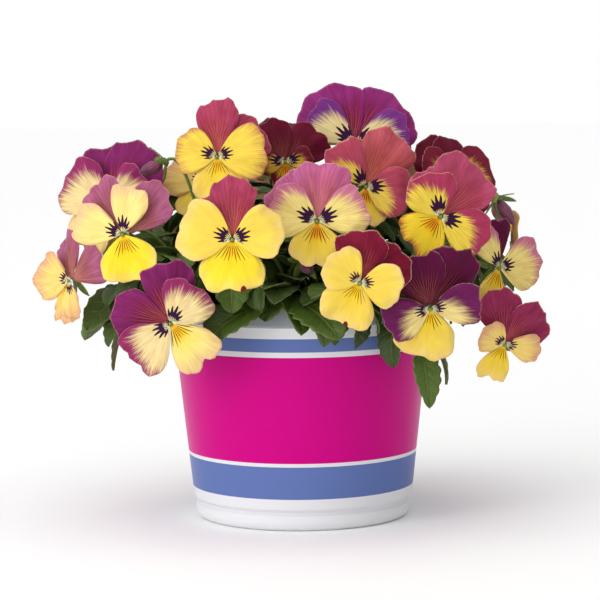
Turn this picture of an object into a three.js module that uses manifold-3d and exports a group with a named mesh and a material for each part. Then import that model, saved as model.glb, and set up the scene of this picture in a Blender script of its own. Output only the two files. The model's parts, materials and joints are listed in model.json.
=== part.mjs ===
// Garden pansies in a plain six inch nursery pot: three plants with toothed leaves and hooked flower stalks,
// in potting soil. All sizes are in millimetres and all angles in degrees. +Z is up, the front faces -Y, and
// the origin is the centre of the flat pad under the pot, on the pot's axis.

import * as THREE from "three";
import { mergeVertices } from "three/addons/utils/BufferGeometryUtils.js";
import Module from "manifold-3d";

const wasm = await Module();
wasm.setup();

// Pot
const POT_HEIGHT = 128;
const POT_SIDES = 30;
const WALL_RADIUS_AT_GROUND = 61.9; // where the tapered wall would meet the ground
const WALL_TAPER = 0.1083; // gain in radius for each millimetre of height
const WALL_THICKNESS = 1.5;
const LIP_BOTTOM = 115.5;
const LIP_RADIUS = 76.8;
const FOOT_HEIGHT = 9.3;
const FOOT_RADIUS = 61.9;
const FOOT_BOTTOM_RADIUS = 59;
const RING_INNER_RADIUS = 51.5; // the ring that the pot stands on
const PAD_RADIUS = 16; // the flat pad in the middle of the base
const CHANNEL_HEIGHT = 2.5; // the drainage channel between pad and ring
const DRAIN_HOLES = 6;
const DRAIN_HOLE_RADIUS = 3.5;
const DRAIN_CIRCLE_RADIUS = 42;

// Soil
const SOIL_SIDES = 20;
const SOIL_TOP = 118;
const SOIL_ROUGHNESS = 1.6;
const CROWN_HOLE_SIDES = 8;
const MERGE_WITHIN = 0.05; // what joining leaves closer together than this becomes one
const SEAT_GAP = 0.3; // between pieces that rest on each other

// Plants
const PLANT_NAMES = ["front", "right", "left"];
const FIRST_WEDGE = 210; // azimuth where the front plant's share of the pot begins
const WEDGE = 360 / PLANT_NAMES.length;
const CROWN_DISTANCE = 27; // of each plant's crown from the pot's axis
const CROWN_RADIUS = 4.2;
const CROWN_DEPTH = 12;
const CROWN_TOP = 124;
const STEM_RADIUS = 2;
const ROD_SIDES = 3; // of stems and stalks
const STALK_RADIUS = 1.2;
const STALK_STEPS = 4;
const STALK_TRIES = 16;
const STALK_RISE = { share: 0.25, height: 0.3 };
const STALK_HOOK = { back: 0.4, height: 0.12 };
const CLEAR_OF_WEDGE = 0.8;
const CLEAR_OF_SOIL = 1.5;

// Leaves
const LEAF_TEETH = 3;
const TOOTH_DEPTH = 0.17;
const LEAF_STALK_SHARE = 0.2; // of the leaf's length
const LEAF_THICKNESS = 0.9;
const LEAF_FOLD = 0.22; // how far its halves rise for each millimetre out from the midrib
const LEAF_STALK_RADIUS = 0.8;
const LEAF_BODY = { middle: 0.85, fullness: 0.8 };
const LEAF_SPINE = [0, 0.35, 0.7]; // shares of the blade where its midrib has points
const LEAF_TRIAL = { along: [0.35, 0.5, 0.65, 0.8, 0.92], side: [-0.8, 0, 0.8] };

// Flowers
const PETAL_THICKNESS = 0.9;
const PETAL_EDGE = 0.97; // how far round its spread a petal goes
const PETAL_ROWS = [[0, 1], [0.56, 5], [1, 9]]; // shares of the way to the rim, with the number of points
const PETAL_BODY = { corner: 4, fullness: 0.45 };
const RIM_WAVES = [{ height: 0.03, turns: 6 }, { height: 0.022, turns: 14 }]; // as shares of a petal's reach
const FACE_WAVES = [{ height: 1.5, lobes: 2 }, { height: 1.1, lobes: 5 }];
const FACE_RADIUS = 28; // where the waves of a face have their full height
const NOTCH_NARROWNESS = 60;
const UPPER_HUB = { radius: 2.6, bottom: -2.4, top: -0.9 };
const FACE_HUB = { radius: 3.2, bottom: -0.6, top: 2.2 };
const CALYX_TOP = -2.7; // below the throat, along the flower's axis
const CALYX_DEPTH = 3.6;
const CALYX_RADIUS = 3;
const SEPALS = 5;
const SEPAL_LENGTH = 11;
const SEPALS_BACK = { bloom: 4, bud: -5 }; // how far behind the cup the sepals' tips are
const CLEAR_OF_PETALS = {
  radius: 34, margin: 1.5, front: 7, back: 3.5, slopes: { upper: 0.26, lower: 0.08 },
};
const CLEAR_OF_CALYX = { radius: 9, back: 12 };
const BUD_SIDES = 7;
const BUD_PROFILE = [[0, 0], [0.7, 0.12], [1, 0.4], [0.75, 0.75], [0, 1]]; // in half widths and lengths

// Each petal of a flower: the way of its middle round the face, its reach from the throat, half its spread,
// the seat of its root above the throat, how far it leans forward, and the notch in its rim.
const PETALS = {
  upper_left: { way: 119, reach: 31, spread: 62, seat: -2, lean: -9, notch: 0 },
  upper_right: { way: 61, reach: 31, spread: 62, seat: -2, lean: -9, notch: 0 },
  side_left: { way: 166, reach: 28, spread: 58, seat: 0.6, lean: 6, notch: 0 },
  side_right: { way: 14, reach: 28, spread: 58, seat: 0.6, lean: 6, notch: 0 },
  lower: { way: 270, reach: 28, spread: 66, seat: 0, lean: 1.5, notch: 0.09 },
};
const UPPER_OVERLAP = { seat: 0.5, lean: 2 }; // what lifts one upper petal over the other
const UPPER_PETALS = ["upper_left", "upper_right"];
const FACE_PETALS = ["lower", "side_left", "side_right"];

// Each flower: its throat, the turn of its face (to the right, up, and clockwise), its size and its colours.
// Where they differ from the above: the way, reach and half spread of its petals, upper left and upper right,
// side left and side right, lower.
const BLOOMS = [
  {
    at: [-36, -118, 168], turn: [-6, 4, 0], size: 1.0, upper: "mauve", face: "lemon",
    petals: [[126, 28, 42], [91, 33, 36], [165, 29.5, 56], [13, 27.5, 52], [268, 29, 62]],
  },
  {
    at: [31, -128, 145], turn: [6, 0, 26], size: 0.86, upper: "wine", face: "lemon", over: "left",
    petals: [[110, 32, 50], [50, 34, 45], [167, 25, 62], [20, 26, 54], [268, 29.5, 62]],
  },
  {
    at: [69, -106, 129], turn: [6, -22, 0], size: 0.96, upper: "plum", face: "violet", over: "left",
    petals: [[110, 32, 48], [58, 37, 42], [200, 27, 50], [8, 29, 44], [266, 32, 54]],
  },
  {
    at: [9, -99, 176], turn: [0, 8, 0], size: 1.0, upper: "pink", face: "blush",
    petals: [[135, 31, 45], [82, 33, 46], [160, 27, 56], [16, 28, 47], [268, 25, 60]],
  },
  {
    at: [-71, -90, 121], turn: [-12, -8, -44], size: 1.06, upper: "plum", face: "violet", over: "left",
    petals: [[134, 32.5, 48], [50, 31, 44], [180, 30, 46], [6, 25.5, 56], [268, 29, 44]],
  },
  {
    at: [76, -86, 177], turn: [10, 6, 38], size: 1.0, upper: "coral", face: "rust",
    petals: [[140, 27, 40], [90, 37, 50], [150, 24.5, 62], [8, 28.5, 48], [262, 24, 60]],
  },
  {
    at: [-96.5, -80, 169], turn: [-22, 0, -16], size: 1.0, upper: "mauve", face: "lemon", over: "left",
    petals: [[112, 34, 38], [32, 33, 38], [150, 29, 38], [58, 27, 40], [266, 28, 64]],
  },
  {
    at: [36, -74, 193], turn: [2, 10, 14], size: 0.92, upper: "coral", face: "rust",
    petals: [[128, 30, 42], [72, 38, 42], [140, 30.5, 38], [2, 27, 58], [285, 24, 50]],
  },
  {
    at: [-45, -68, 210], turn: [-8, 12, 0], size: 0.9, upper: "coral", face: "lemon", over: "left",
    petals: [[93, 36, 36], [36, 32.5, 44], [168, 26, 56], [8, 31, 54], [276, 29, 60]],
  },
  {
    at: [112, -66, 105], turn: [12, -20, 0], size: 0.85, upper: "wine", face: "lemon",
    petals: [[100, 35, 42], [32, 33.5, 50], [148, 19.5, 60], [-12, 25, 38], [250, 27, 40]],
  },
  {
    at: [110, -52, 146], turn: [34, 0, 0], size: 0.95, upper: "plum", face: "violet",
    petals: [[112, 29, 30], [80, 28.5, 27], [122, 26, 34], [4, 29, 56], [250, 23.5, 42]],
  },
  {
    at: [-8, -48, 206], turn: [4, 12, 4], size: 0.76, upper: "wine", face: "rust", over: "left",
    petals: [[112, 34, 42], [44, 37, 44], [185, 20, 50], [12, 20, 46], [272, 19, 55]],
  },
  {
    at: [-129, -46, 141], turn: [-50, 0, 0], size: 0.9, upper: "mauve", face: "peach",
    petals: [[128, 33, 42], [32, 34, 40], [176, 30, 50], [284, 24, 40], [252, 28, 38]],
  },
  {
    at: [-108, -33, 181], turn: [-30, 12, 0], size: 1.12, upper: "plum", face: "violet",
    petals: [[120, 34, 44], [64, 36, 50], [150, 30, 50], [40, 26, 40], [234, 27, 54]],
  },
  {
    at: [31, -22, 215], turn: [0, 20, 2], size: 1.2, upper: "violet", face: "violet", over: "left",
    petals: [[124, 32.5, 54], [46, 32, 54], [146, 26, 40], [20, 27, 40], [270, 26, 60]],
  },
  { at: [-54, -20, 194], turn: [-22, 24, 0], size: 0.86, upper: "coral", face: "lemon" },
  { at: [90, -9, 195], turn: [34, 26, 0], size: 0.92, upper: "wine", face: "rust" },
  { at: [122, 14, 156], turn: [88, 4, 0], size: 0.95, upper: "mauve", face: "lemon" },
  { at: [104, 66, 142], turn: [118, -4, -12], size: 0.9, upper: "plum", face: "violet" },
  { at: [66, 92, 180], turn: [142, 14, 8], size: 1.0, upper: "coral", face: "lemon" },
  { at: [24, 116, 148], turn: [166, -2, 0], size: 0.94, upper: "wine", face: "lemon" },
  { at: [-34, 106, 176], turn: [-164, 8, -8], size: 1.02, upper: "pink", face: "blush" },
  { at: [-84, 88, 140], turn: [-136, -6, 14], size: 0.92, upper: "plum", face: "rust" },
  { at: [-108, 36, 170], turn: [-108, 8, 0], size: 0.98, upper: "mauve", face: "lemon" },
  { at: [-22, 42, 212], turn: [-160, 46, 0], size: 0.96, upper: "violet", face: "violet" },
  { at: [46, 44, 212], turn: [140, 44, 0], size: 0.9, upper: "coral", face: "rust" },
];

// Each bud: its base, the turn of its tip (to the right and up), its length and its half width.
const BUDS = [
  { at: [112, -30, 182], turn: [50, -52], length: 17, radius: 4, hook: 0.2 },
  { at: [2, -86, 153], turn: [14, -18], length: 13, radius: 4.4 },
  { at: [-76, -50, 206], turn: [-84, -22], length: 14, radius: 4, hook: 0.15 },
];

// Each stem of a plant: its azimuth from the middle of the plant's share, how steeply it rises, its reach,
// how high it arches, and the leaves at its end, each with its turn from the stem, rise, droop, length, half
// width and twist.
const STEMS = [
  {
    turn: -55, rise: 11, reach: 110, arch: 20,
    leaves: [[2, -42, 50, 46, 11, -36], [12, -72, 40, 48, 9, -36]],
  },
  {
    turn: -7, rise: 6, reach: 75, arch: 14,
    leaves: [[-66, -6, 46, 54, 14, -34], [50, 0, 46, 52, 14.5, 24], [-10, 34, 40, 34, 9, 0]],
  },
  {
    turn: 21, rise: 4, reach: 87, arch: 18,
    leaves: [[-112, 16, 50, 32, 9, -16], [52, -12, 44, 36, 9, 20], [-4, -24, 44, 30, 8, 0]],
  },
  { turn: 43, rise: -8, reach: 96, arch: 34, leaves: [[-36, -54, 30, 44, 8, 0], [20, -16, 60, 36, 8, 0]] },
  { turn: -30, rise: 24, reach: 84, arch: 14, leaves: [[-40, -4, 56, 44, 12, 0], [30, -18, 46, 42, 12, 0]] },
  { turn: 4, rise: 36, reach: 84, arch: 12, leaves: [] },
  { turn: 34, rise: 44, reach: 80, arch: 12, leaves: [] },
  { turn: -8, rise: 72, reach: 70, arch: 8, leaves: [] },
];
const PLANT_LIFTS = [0, 4, 9]; // added to how steeply each plant's stems rise
const STEM_STEPS = 5;
const STEM_END = 0.98; // where its last leaves grow, a little inside it
const FIRST_LEAF_STEP = 2;
const FIRST_STALK_STEP = 1;
const LEAF_TURNS = [0, 14, -14, 28, -28, 42, -42, 56, -56, 20, -20, 0]; // of each attempt at placing a leaf
const MOST_LEAVES = 26; // on a plant
const LEAF_GAP = 5; // between marks on neighbouring leaves, stems and stalks

const PETAL_COLOURS = {
  mauve: 0xb3506e, wine: 0x74123c, plum: 0x6a1550, pink: 0xc87a8e, coral: 0xbb5a58, violet: 0x8a2a78,
  lemon: 0xf7dd4a, blush: 0xf2dc8a, rust: 0xe8c040, peach: 0xeebf80,
};
const COLOURS = {
  pot: { color: 0xe9e9ea, roughness: 0.32, metalness: 0 },
  soil: { color: 0x2a1d14, roughness: 0.95, metalness: 0 },
  plant: { color: 0x3d6b2c, roughness: 0.55, metalness: 0 },
  bud: { color: 0x4e1038, roughness: 0.6, metalness: 0 },
};

const cosine = (degrees) => Math.cos(THREE.MathUtils.degToRad(degrees));
const sine = (degrees) => Math.sin(THREE.MathUtils.degToRad(degrees));
const vector = (x, y, z) => new THREE.Vector3(x, y, z);
const wallRadius = (z) => WALL_RADIUS_AT_GROUND + WALL_TAPER * z;

// A number from 0 to 1 that is always the same for the same whole numbers.
function chance(...keys) {
  let hash = 2166136261;
  for (const key of keys) {
    hash = Math.imul(hash ^ key, 16777619) >>> 0;
    hash = (hash ^ (hash >>> 13)) >>> 0;
  }
  hash = Math.imul(hash, 1540483477) >>> 0;
  return ((hash ^ (hash >>> 15)) >>> 0) / 4294967296;
}

// A closed geometry as a solid.
function solidFrom(geometry) {
  const bare = geometry.clone();
  bare.deleteAttribute("normal");
  bare.deleteAttribute("uv");
  const merged = mergeVertices(bare, 1e-4);
  return new wasm.Manifold(
    new wasm.Mesh({
      numProp: 3,
      vertProperties: new Float32Array(merged.attributes.position.array),
      triVerts: new Uint32Array(merged.index.array),
    }),
  );
}

// A solid from a list of corner points and a list of triangles.
function solidFromFaces(points, faces) {
  return new wasm.Manifold(
    new wasm.Mesh({
      numProp: 3,
      vertProperties: new Float32Array(points.flatMap((point) => point.toArray())),
      triVerts: new Uint32Array(faces.flat()),
    }),
  );
}

// The solids joined in one, without what hangs loose.
function joined(solids) {
  const whole = solids.reduce((sum, solid) => sum.add(solid)).simplify(MERGE_WITHIN);
  const bodies = whole.decompose();
  return bodies.reduce((best, body) => (body.volume() > best.volume() ? body : best));
}

function meshFrom(solid, name, look) {
  const { vertProperties, triVerts } = solid.getMesh();
  const geometry = new THREE.BufferGeometry();
  geometry.setAttribute("position", new THREE.BufferAttribute(new Float32Array(vertProperties), 3));
  geometry.setIndex(new THREE.BufferAttribute(new Uint32Array(triVerts), 1));
  geometry.computeVertexNormals();
  const mesh = new THREE.Mesh(geometry, new THREE.MeshStandardMaterial(look));
  mesh.name = name;
  return mesh;
}

// A lathe turns about Y, so its result is stood up on Z.
function turned(profile, sides) {
  const corners = profile.map(([r, z]) => new THREE.Vector2(r, z));
  return solidFrom(new THREE.LatheGeometry(corners, sides)).rotate(90, 0, 0);
}

function round(radius, bottom, top, sides) {
  const geometry = new THREE.CylinderGeometry(radius, radius, top - bottom, sides);
  return solidFrom(geometry.rotateX(Math.PI / 2).translate(0, 0, (top + bottom) / 2));
}

// The pot: a tapered wall under a thick lip, a groove above the foot, and a base with a drainage channel.
function makePot() {
  const innerRadius = (z) => wallRadius(z) - WALL_THICKNESS;
  const profile = [
    [0, 0],
    [PAD_RADIUS, 0],
    [PAD_RADIUS + 1.5, CHANNEL_HEIGHT],
    [RING_INNER_RADIUS - 1.5, CHANNEL_HEIGHT],
    [RING_INNER_RADIUS, 0],
    [FOOT_BOTTOM_RADIUS, 0],
    [FOOT_RADIUS - 0.9, 1.4],
    [FOOT_RADIUS, 4.2],
    [FOOT_RADIUS - 0.4, FOOT_HEIGHT - 0.8],
    [FOOT_RADIUS - 1, FOOT_HEIGHT],
    [wallRadius(FOOT_HEIGHT + 2.5), FOOT_HEIGHT + 2.5],
    [wallRadius(LIP_BOTTOM), LIP_BOTTOM],
    [LIP_RADIUS, LIP_BOTTOM + 1],
    [LIP_RADIUS, POT_HEIGHT - 2],
    [LIP_RADIUS - 1.2, POT_HEIGHT],
    [LIP_RADIUS - 3.4, POT_HEIGHT - 1.6],
    [innerRadius(LIP_BOTTOM - 2), LIP_BOTTOM - 2],
    [innerRadius(FOOT_HEIGHT + 3), FOOT_HEIGHT + 3],
    [FOOT_RADIUS - 2.8, WALL_THICKNESS],
    [RING_INNER_RADIUS + 1, WALL_THICKNESS],
    [RING_INNER_RADIUS - 0.5, CHANNEL_HEIGHT + WALL_THICKNESS],
    [0, CHANNEL_HEIGHT + WALL_THICKNESS],
  ];
  let pot = turned(profile, POT_SIDES);
  for (let i = 0; i < DRAIN_HOLES; i++) {
    const azimuth = (360 / DRAIN_HOLES) * (i + 0.5);
    const [x, y] = [DRAIN_CIRCLE_RADIUS * cosine(azimuth), DRAIN_CIRCLE_RADIUS * sine(azimuth)];
    const hole = round(DRAIN_HOLE_RADIUS, -1, 2 * CHANNEL_HEIGHT + WALL_THICKNESS, 6);
    pot = pot.subtract(hole.translate(x, y, 0));
  }
  return pot;
}

const crownOf = (plant) => {
  const azimuth = FIRST_WEDGE + WEDGE * (plant + 0.5);
  return [CROWN_DISTANCE * cosine(azimuth), CROWN_DISTANCE * sine(azimuth)];
};

// The soil: it fills the pot, its top is lumpy, and each plant's crown stands in a plain hole in it.
function makeSoil() {
  const floor = CHANNEL_HEIGHT + WALL_THICKNESS + SEAT_GAP;
  const radiusAt = (z) => wallRadius(z) - WALL_THICKNESS - SEAT_GAP;
  const rings = [radiusAt(SOIL_TOP) - 3, 40];
  const profile = [
    [0, floor],
    [FOOT_RADIUS - 3.4, floor],
    [radiusAt(FOOT_HEIGHT + 3) - SEAT_GAP, FOOT_HEIGHT + 3],
    [radiusAt(SOIL_TOP - 4) - SEAT_GAP, SOIL_TOP - 4],
    ...rings.map((r) => [r, SOIL_TOP]),
    [0, SOIL_TOP],
  ];
  const geometry = new THREE.LatheGeometry(profile.map(([r, z]) => new THREE.Vector2(r, z)), SOIL_SIDES);
  const place = geometry.attributes.position;
  for (let i = 0; i < place.count; i++) {
    const [x, z] = [Math.round(place.getX(i) * 10), Math.round(place.getZ(i) * 10)];
    if (place.getY(i) === SOIL_TOP) place.setY(i, SOIL_TOP - SOIL_ROUGHNESS * chance(x, z));
  }
  let soil = solidFrom(geometry).rotate(90, 0, 0);
  PLANT_NAMES.forEach((name, plant) => {
    const [x, y] = crownOf(plant);
    const bottom = SOIL_TOP - CROWN_DEPTH - SEAT_GAP;
    const hole = round(CROWN_RADIUS + SEAT_GAP, bottom, SOIL_TOP + 2, CROWN_HOLE_SIDES);
    soil = soil.subtract(hole.translate(x, y, 0));
  });
  return soil;
}

// The three directions of a flower or bud: across, up its face, and out of it.
function frameOf([yaw, pitch, roll = 0]) {
  const level = vector(cosine(yaw), sine(yaw), 0);
  const ahead = vector(sine(yaw), -cosine(yaw), 0);
  const out = ahead.clone().multiplyScalar(cosine(pitch)).add(vector(0, 0, sine(pitch)));
  const above = ahead.clone().multiplyScalar(-sine(pitch)).add(vector(0, 0, cosine(pitch)));
  const across = level.clone().multiplyScalar(cosine(roll)).addScaledVector(above, -sine(roll));
  const up = above.multiplyScalar(cosine(roll)).addScaledVector(level, sine(roll));
  return { across, up, out };
}

// A point given across, up and out of a flower's throat, in the pot's frame.
function inBloom(bloom, u, v, w) {
  const { across, up, out } = bloom.frame;
  return vector(...bloom.at).addScaledVector(across, u).addScaledVector(up, v).addScaledVector(out, w);
}

// A petal of a flower, with what is its own.
function petalOf(bloom, name) {
  const petal = { ...PETALS[name] };
  const number = Object.keys(PETALS).indexOf(name);
  if (bloom.petals) [petal.way, petal.reach, petal.spread] = bloom.petals[number];
  if (name === `upper_${bloom.over ?? "right"}`) {
    petal.seat += UPPER_OVERLAP.seat;
    petal.lean += UPPER_OVERLAP.lean;
  }
  petal.seed = bloom.number * 8 + number;
  return petal;
}

// How far a petal's rim is from the throat, at a share of its spread from -1 to 1.
function petalReach(petal, share) {
  const body = Math.pow(1 - Math.pow(Math.abs(share), PETAL_BODY.corner), PETAL_BODY.fullness);
  const [slow, fast] = RIM_WAVES.map(({ height, turns }, i) => {
    return height * Math.sin(turns * share + 6.3 * chance(petal.seed, i + 1));
  });
  const notch = petal.notch * Math.exp(-NOTCH_NARROWNESS * share * share);
  return petal.reach * body * (1 + slow + fast - notch);
}

// The waves of the whole face: the same for overlapping petals, so that they don't cross.
function faceWave(seed, distance, azimuth) {
  const [broad, fine] = FACE_WAVES.map(({ height, lobes }, i) => {
    return height * Math.sin(lobes * azimuth + 6.3 * chance(seed, i + 3));
  });
  return (broad + fine) * (distance / FACE_RADIUS) ** 2;
}

// A point of a petal, at a share of the way to its rim and a share of its spread.
function petalPoint(bloom, petal, along, share) {
  const distance = along * petalReach(petal, share);
  const azimuth = THREE.MathUtils.degToRad(petal.way - petal.spread * share);
  const lean = distance * Math.tan(THREE.MathUtils.degToRad(petal.lean));
  const w = petal.seat + lean + faceWave(bloom.number, distance, azimuth);
  return [bloom.size * distance * Math.cos(azimuth), bloom.size * distance * Math.sin(azimuth), w];
}

// A petal: rows of points from its root to its rim, with its rim thin and its inside PETAL_THICKNESS thick.
function makePetal(bloom, name) {
  const petal = petalOf(bloom, name);
  const points = [];
  const index = PETAL_ROWS.map(([along, count], row) =>
    Array.from({ length: count }, (_, i) => {
      const share = count === 1 ? 0 : PETAL_EDGE * Math.sin((Math.PI / 2) * ((2 * i) / (count - 1) - 1));
      const [u, v, w] = petalPoint(bloom, petal, along, share);
      const rim = row === 0 || row === PETAL_ROWS.length - 1 || i === 0 || i === count - 1;
      const half = rim ? 0 : PETAL_THICKNESS / 2;
      points.push(inBloom(bloom, u, v, w + half));
      const front = points.length - 1;
      if (rim) return [front, front];
      points.push(inBloom(bloom, u, v, w - half));
      return [front, front + 1];
    }),
  );
  return solidFromFaces(points, sheetFaces(index));
}

// Triangles between rows of [front, back] points, alike on both faces. A rim point is the same on both, so
// each triangle takes in a point of the nearer row that is not on the rim, or the sheet would be flat there.
function sheetFaces(rows) {
  const faces = [];
  const add = (corners) => {
    faces.push(corners.map((pair) => pair[0]));
    faces.push(corners.map((pair) => pair[1]).reverse());
  };
  for (let row = 0; row + 1 < rows.length; row++) {
    const [near, far] = [rows[row], rows[row + 1]];
    const isRim = (pair) => near.length > 1 && pair[0] === pair[1];
    const first = isRim(near[0]) ? 1 : 0;
    const last = near.length - (isRim(near[near.length - 1]) ? 2 : 1);
    let i = 0;
    for (let j = 0; j < far.length; j++) {
      const beside = Math.round(((j + 0.5) * (near.length - 1)) / (far.length - 1));
      const target = j === far.length - 1 ? near.length - 1 : Math.min(last, Math.max(first, beside));
      for (; i < target; i++) add([near[i], near[i + 1], far[j]]);
      if (j < far.length - 1) add([near[i], far[j + 1], far[j]]);
    }
  }
  return faces;
}

// A small lens round the throat, which the roots of the petals sink into.
function makeHub(bloom, { radius, bottom, top }) {
  const hub = new THREE.OctahedronGeometry(1).scale(radius, radius, (top - bottom) / 2);
  const { across, up, out } = bloom.frame;
  const place = new THREE.Matrix4().makeBasis(across, up, out);
  place.setPosition(inBloom(bloom, 0, 0, (top + bottom) / 2));
  return solidFrom(hub.applyMatrix4(place));
}

// A rod along a curve.
function makeRod(curve, radius, steps) {
  const corners = Array.from({ length: ROD_SIDES }, (_, i) => {
    return new THREE.Vector2(radius * cosine((360 * i) / ROD_SIDES), radius * sine((360 * i) / ROD_SIDES));
  });
  const options = { steps, extrudePath: curve, bevelEnabled: false };
  return solidFrom(new THREE.ExtrudeGeometry(new THREE.Shape(corners), options));
}

// The calyx behind a flower or bud: a star of pointed sepals round a small cup, in one closed piece.
function makeCalyx(bloom, top, spreadBack) {
  const middle = top - CALYX_DEPTH / 2;
  const points = [inBloom(bloom, 0, 0, top), inBloom(bloom, 0, 0, top - CALYX_DEPTH)];
  const [front, back] = [0, 1];
  const faces = [];
  for (let i = 0; i < SEPALS; i++) {
    const azimuth = 90 + (360 / SEPALS) * i;
    const between = azimuth + 180 / SEPALS;
    const tipAt = [SEPAL_LENGTH * cosine(azimuth), SEPAL_LENGTH * sine(azimuth)];
    points.push(inBloom(bloom, ...tipAt, middle - spreadBack));
    points.push(inBloom(bloom, CALYX_RADIUS * cosine(between), CALYX_RADIUS * sine(between), middle));
    const [tip, left, right] = [2 + 2 * i, 3 + 2 * i, 3 + 2 * ((i + SEPALS - 1) % SEPALS)];
    faces.push([front, tip, left], [front, right, tip], [tip, right, left], [back, left, right]);
  }
  return solidFromFaces(points, faces);
}

// The curve of one leafy stem, from its plant's crown out over the lip.
function stemCurve(plant, stem) {
  const [x, y] = crownOf(plant);
  const azimuth = FIRST_WEDGE + WEDGE * (plant + 0.5) + stem.turn;
  const rises = stem.rise + PLANT_LIFTS[plant];
  const flat = stem.reach * cosine(rises);
  const end = vector(flat * cosine(azimuth), flat * sine(azimuth), CROWN_TOP + stem.reach * sine(rises));
  const start = vector(x, y, CROWN_TOP - 1);
  const rise = start.clone().lerp(end, 0.3).add(vector(0, 0, stem.arch));
  const top = start.clone().lerp(end, 0.72).add(vector(0, 0, stem.arch));
  return new THREE.CubicBezierCurve3(start, rise, top, end);
}

// The curve of a stalk from a place on a stem to the back of a flower, which it meets in a hook.
function stalkCurve(start, bloom) {
  const end = inBloom(bloom, 0, 0, bloom.back);
  const height = start.distanceTo(end);
  const rise = start.clone().lerp(end, STALK_RISE.share).add(vector(0, 0, STALK_RISE.height * height));
  const back = (bloom.hook ?? STALK_HOOK.back) * height;
  const hook = end.clone().addScaledVector(bloom.frame.out, -back);
  hook.z += STALK_HOOK.height * height;
  return new THREE.CubicBezierCurve3(start, rise, hook, end);
}

// The stalks of a plant's flowers and buds, each from the nearest place on a stem that keeps it clear.
function stalksOf(plant, stems, heads, blooms) {
  const places = [];
  for (const stem of stems) {
    for (let i = FIRST_STALK_STEP; i < STEM_STEPS; i++) places.push(stem.getPointAt(i / STEM_STEPS));
  }
  return heads.map((head) => {
    const below = inBloom(head, 0, 0, -26).add(vector(0, 0, -30));
    const near = [...places].sort((a, b) => a.distanceTo(below) - b.distanceTo(below));
    const curves = near.slice(0, STALK_TRIES).map((start) => stalkCurve(start, head));
    const others = blooms.filter((bloom) => bloom !== head);
    const isClear = (curve) => curve.getPoints(12).slice(1).every((point) => isFree(point, plant, others));
    return curves.find(isClear) ?? curves[0];
  });
}

// Half the width of a leaf, at a share of its length.
function leafHalfWidth(leaf, along) {
  const blade = (along - LEAF_STALK_SHARE) / (1 - LEAF_STALK_SHARE);
  if (blade <= 0) return LEAF_STALK_RADIUS;
  const body = Math.pow(Math.sin(Math.PI * Math.pow(blade, LEAF_BODY.middle)), LEAF_BODY.fullness);
  const tooth = 1 - TOOTH_DEPTH * (1 - Math.abs(Math.sin(Math.PI * LEAF_TEETH * blade)));
  return LEAF_STALK_RADIUS * (1 - blade) + leaf.halfWidth * body * tooth;
}

// A point of a leaf: along its length, across its width from -1 to 1, and above its face.
function leafPoint(leaf, along, side, above = 0) {
  const [c, s] = [cosine(leaf.azimuth), sine(leaf.azimuth)];
  const [first, bend] = [THREE.MathUtils.degToRad(leaf.rise), THREE.MathUtils.degToRad(leaf.droop)];
  const angle = first - bend * along;
  const out = (leaf.length * (Math.sin(first) - Math.sin(angle))) / bend;
  const up = (leaf.length * (Math.cos(angle) - Math.cos(first))) / bend;
  const half = leafHalfWidth(leaf, along) * side;
  const lift = above + Math.abs(half) * LEAF_FOLD;
  const [ct, st] = [cosine(leaf.twist), sine(leaf.twist)];
  const [sideways, raised] = [half * ct - lift * st, half * st + lift * ct];
  return vector(
    leaf.root.x + (out - raised * Math.sin(angle)) * c - sideways * s,
    leaf.root.y + (out - raised * Math.sin(angle)) * s + sideways * c,
    leaf.root.z + up + raised * Math.cos(angle),
  );
}

// Whether a point is clear of the pot, the soil, the flowers and the next plants, by a margin.
function isFree(point, plant, blooms) {
  const radius = Math.hypot(point.x, point.y);
  if (point.z < SOIL_TOP + CLEAR_OF_SOIL && radius < wallRadius(point.z) + 4) return false;
  const overLip = radius > LIP_RADIUS - 6 && radius < LIP_RADIUS + 2;
  if (point.z < POT_HEIGHT + CLEAR_OF_SOIL && overLip) return false;
  for (const edge of [0, 1]) {
    const azimuth = FIRST_WEDGE + WEDGE * (plant + edge);
    const inside = (point.y * cosine(azimuth) - point.x * sine(azimuth)) * (edge ? -1 : 1);
    if (inside < CLEAR_OF_WEDGE) return false;
  }
  return blooms.every((bloom) => {
    const offset = point.clone().sub(vector(...bloom.at));
    const w = offset.dot(bloom.frame.out);
    const distance = Math.sqrt(Math.max(0, offset.lengthSq() - w * w));
    const { radius: reach, margin, front, back, slopes } = CLEAR_OF_PETALS;
    const slope = offset.dot(bloom.frame.up) < -0.3 * distance ? slopes.lower : slopes.upper;
    const inPetals = distance < reach * bloom.size + margin && w < front && w > -back - slope * distance;
    const inCalyx = distance < CLEAR_OF_CALYX.radius && w < front && w > -CLEAR_OF_CALYX.back;
    return !inPetals && !inCalyx;
  });
}

// Whether a leaf is clear of all that, and of what grows before it.
function leafIsFree(leaf, plant, blooms, earlier) {
  const { along: lengths, side: sides } = LEAF_TRIAL;
  leaf.marks = lengths.flatMap((along) => sides.map((side) => leafPoint(leaf, along, side)));
  leaf.marks.push(leafPoint(leaf, 1, 0));
  const isClear = (mark) => earlier.every((other) => other.distanceTo(mark) > LEAF_GAP);
  return leaf.marks.every((mark) => isFree(mark, plant, blooms) && isClear(mark));
}

// The same leaf, turned and lowered a little more at each attempt.
function shifted(leaf, attempt) {
  return {
    ...leaf,
    azimuth: leaf.azimuth + LEAF_TURNS[attempt],
    rise: leaf.rise - 14 * (attempt % 4),
    droop: leaf.droop + 4 * attempt,
    length: leaf.length * (1 - 0.025 * attempt),
    halfWidth: leaf.halfWidth * (1 - 0.03 * attempt),
  };
}

// Which way a stem goes at a share of its length: its azimuth, and how steeply it rises.
function headingOf(curve, share) {
  const way = curve.getTangentAt(share);
  return [THREE.MathUtils.radToDeg(Math.atan2(way.y, way.x)), THREE.MathUtils.radToDeg(Math.asin(way.z))];
}

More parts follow.
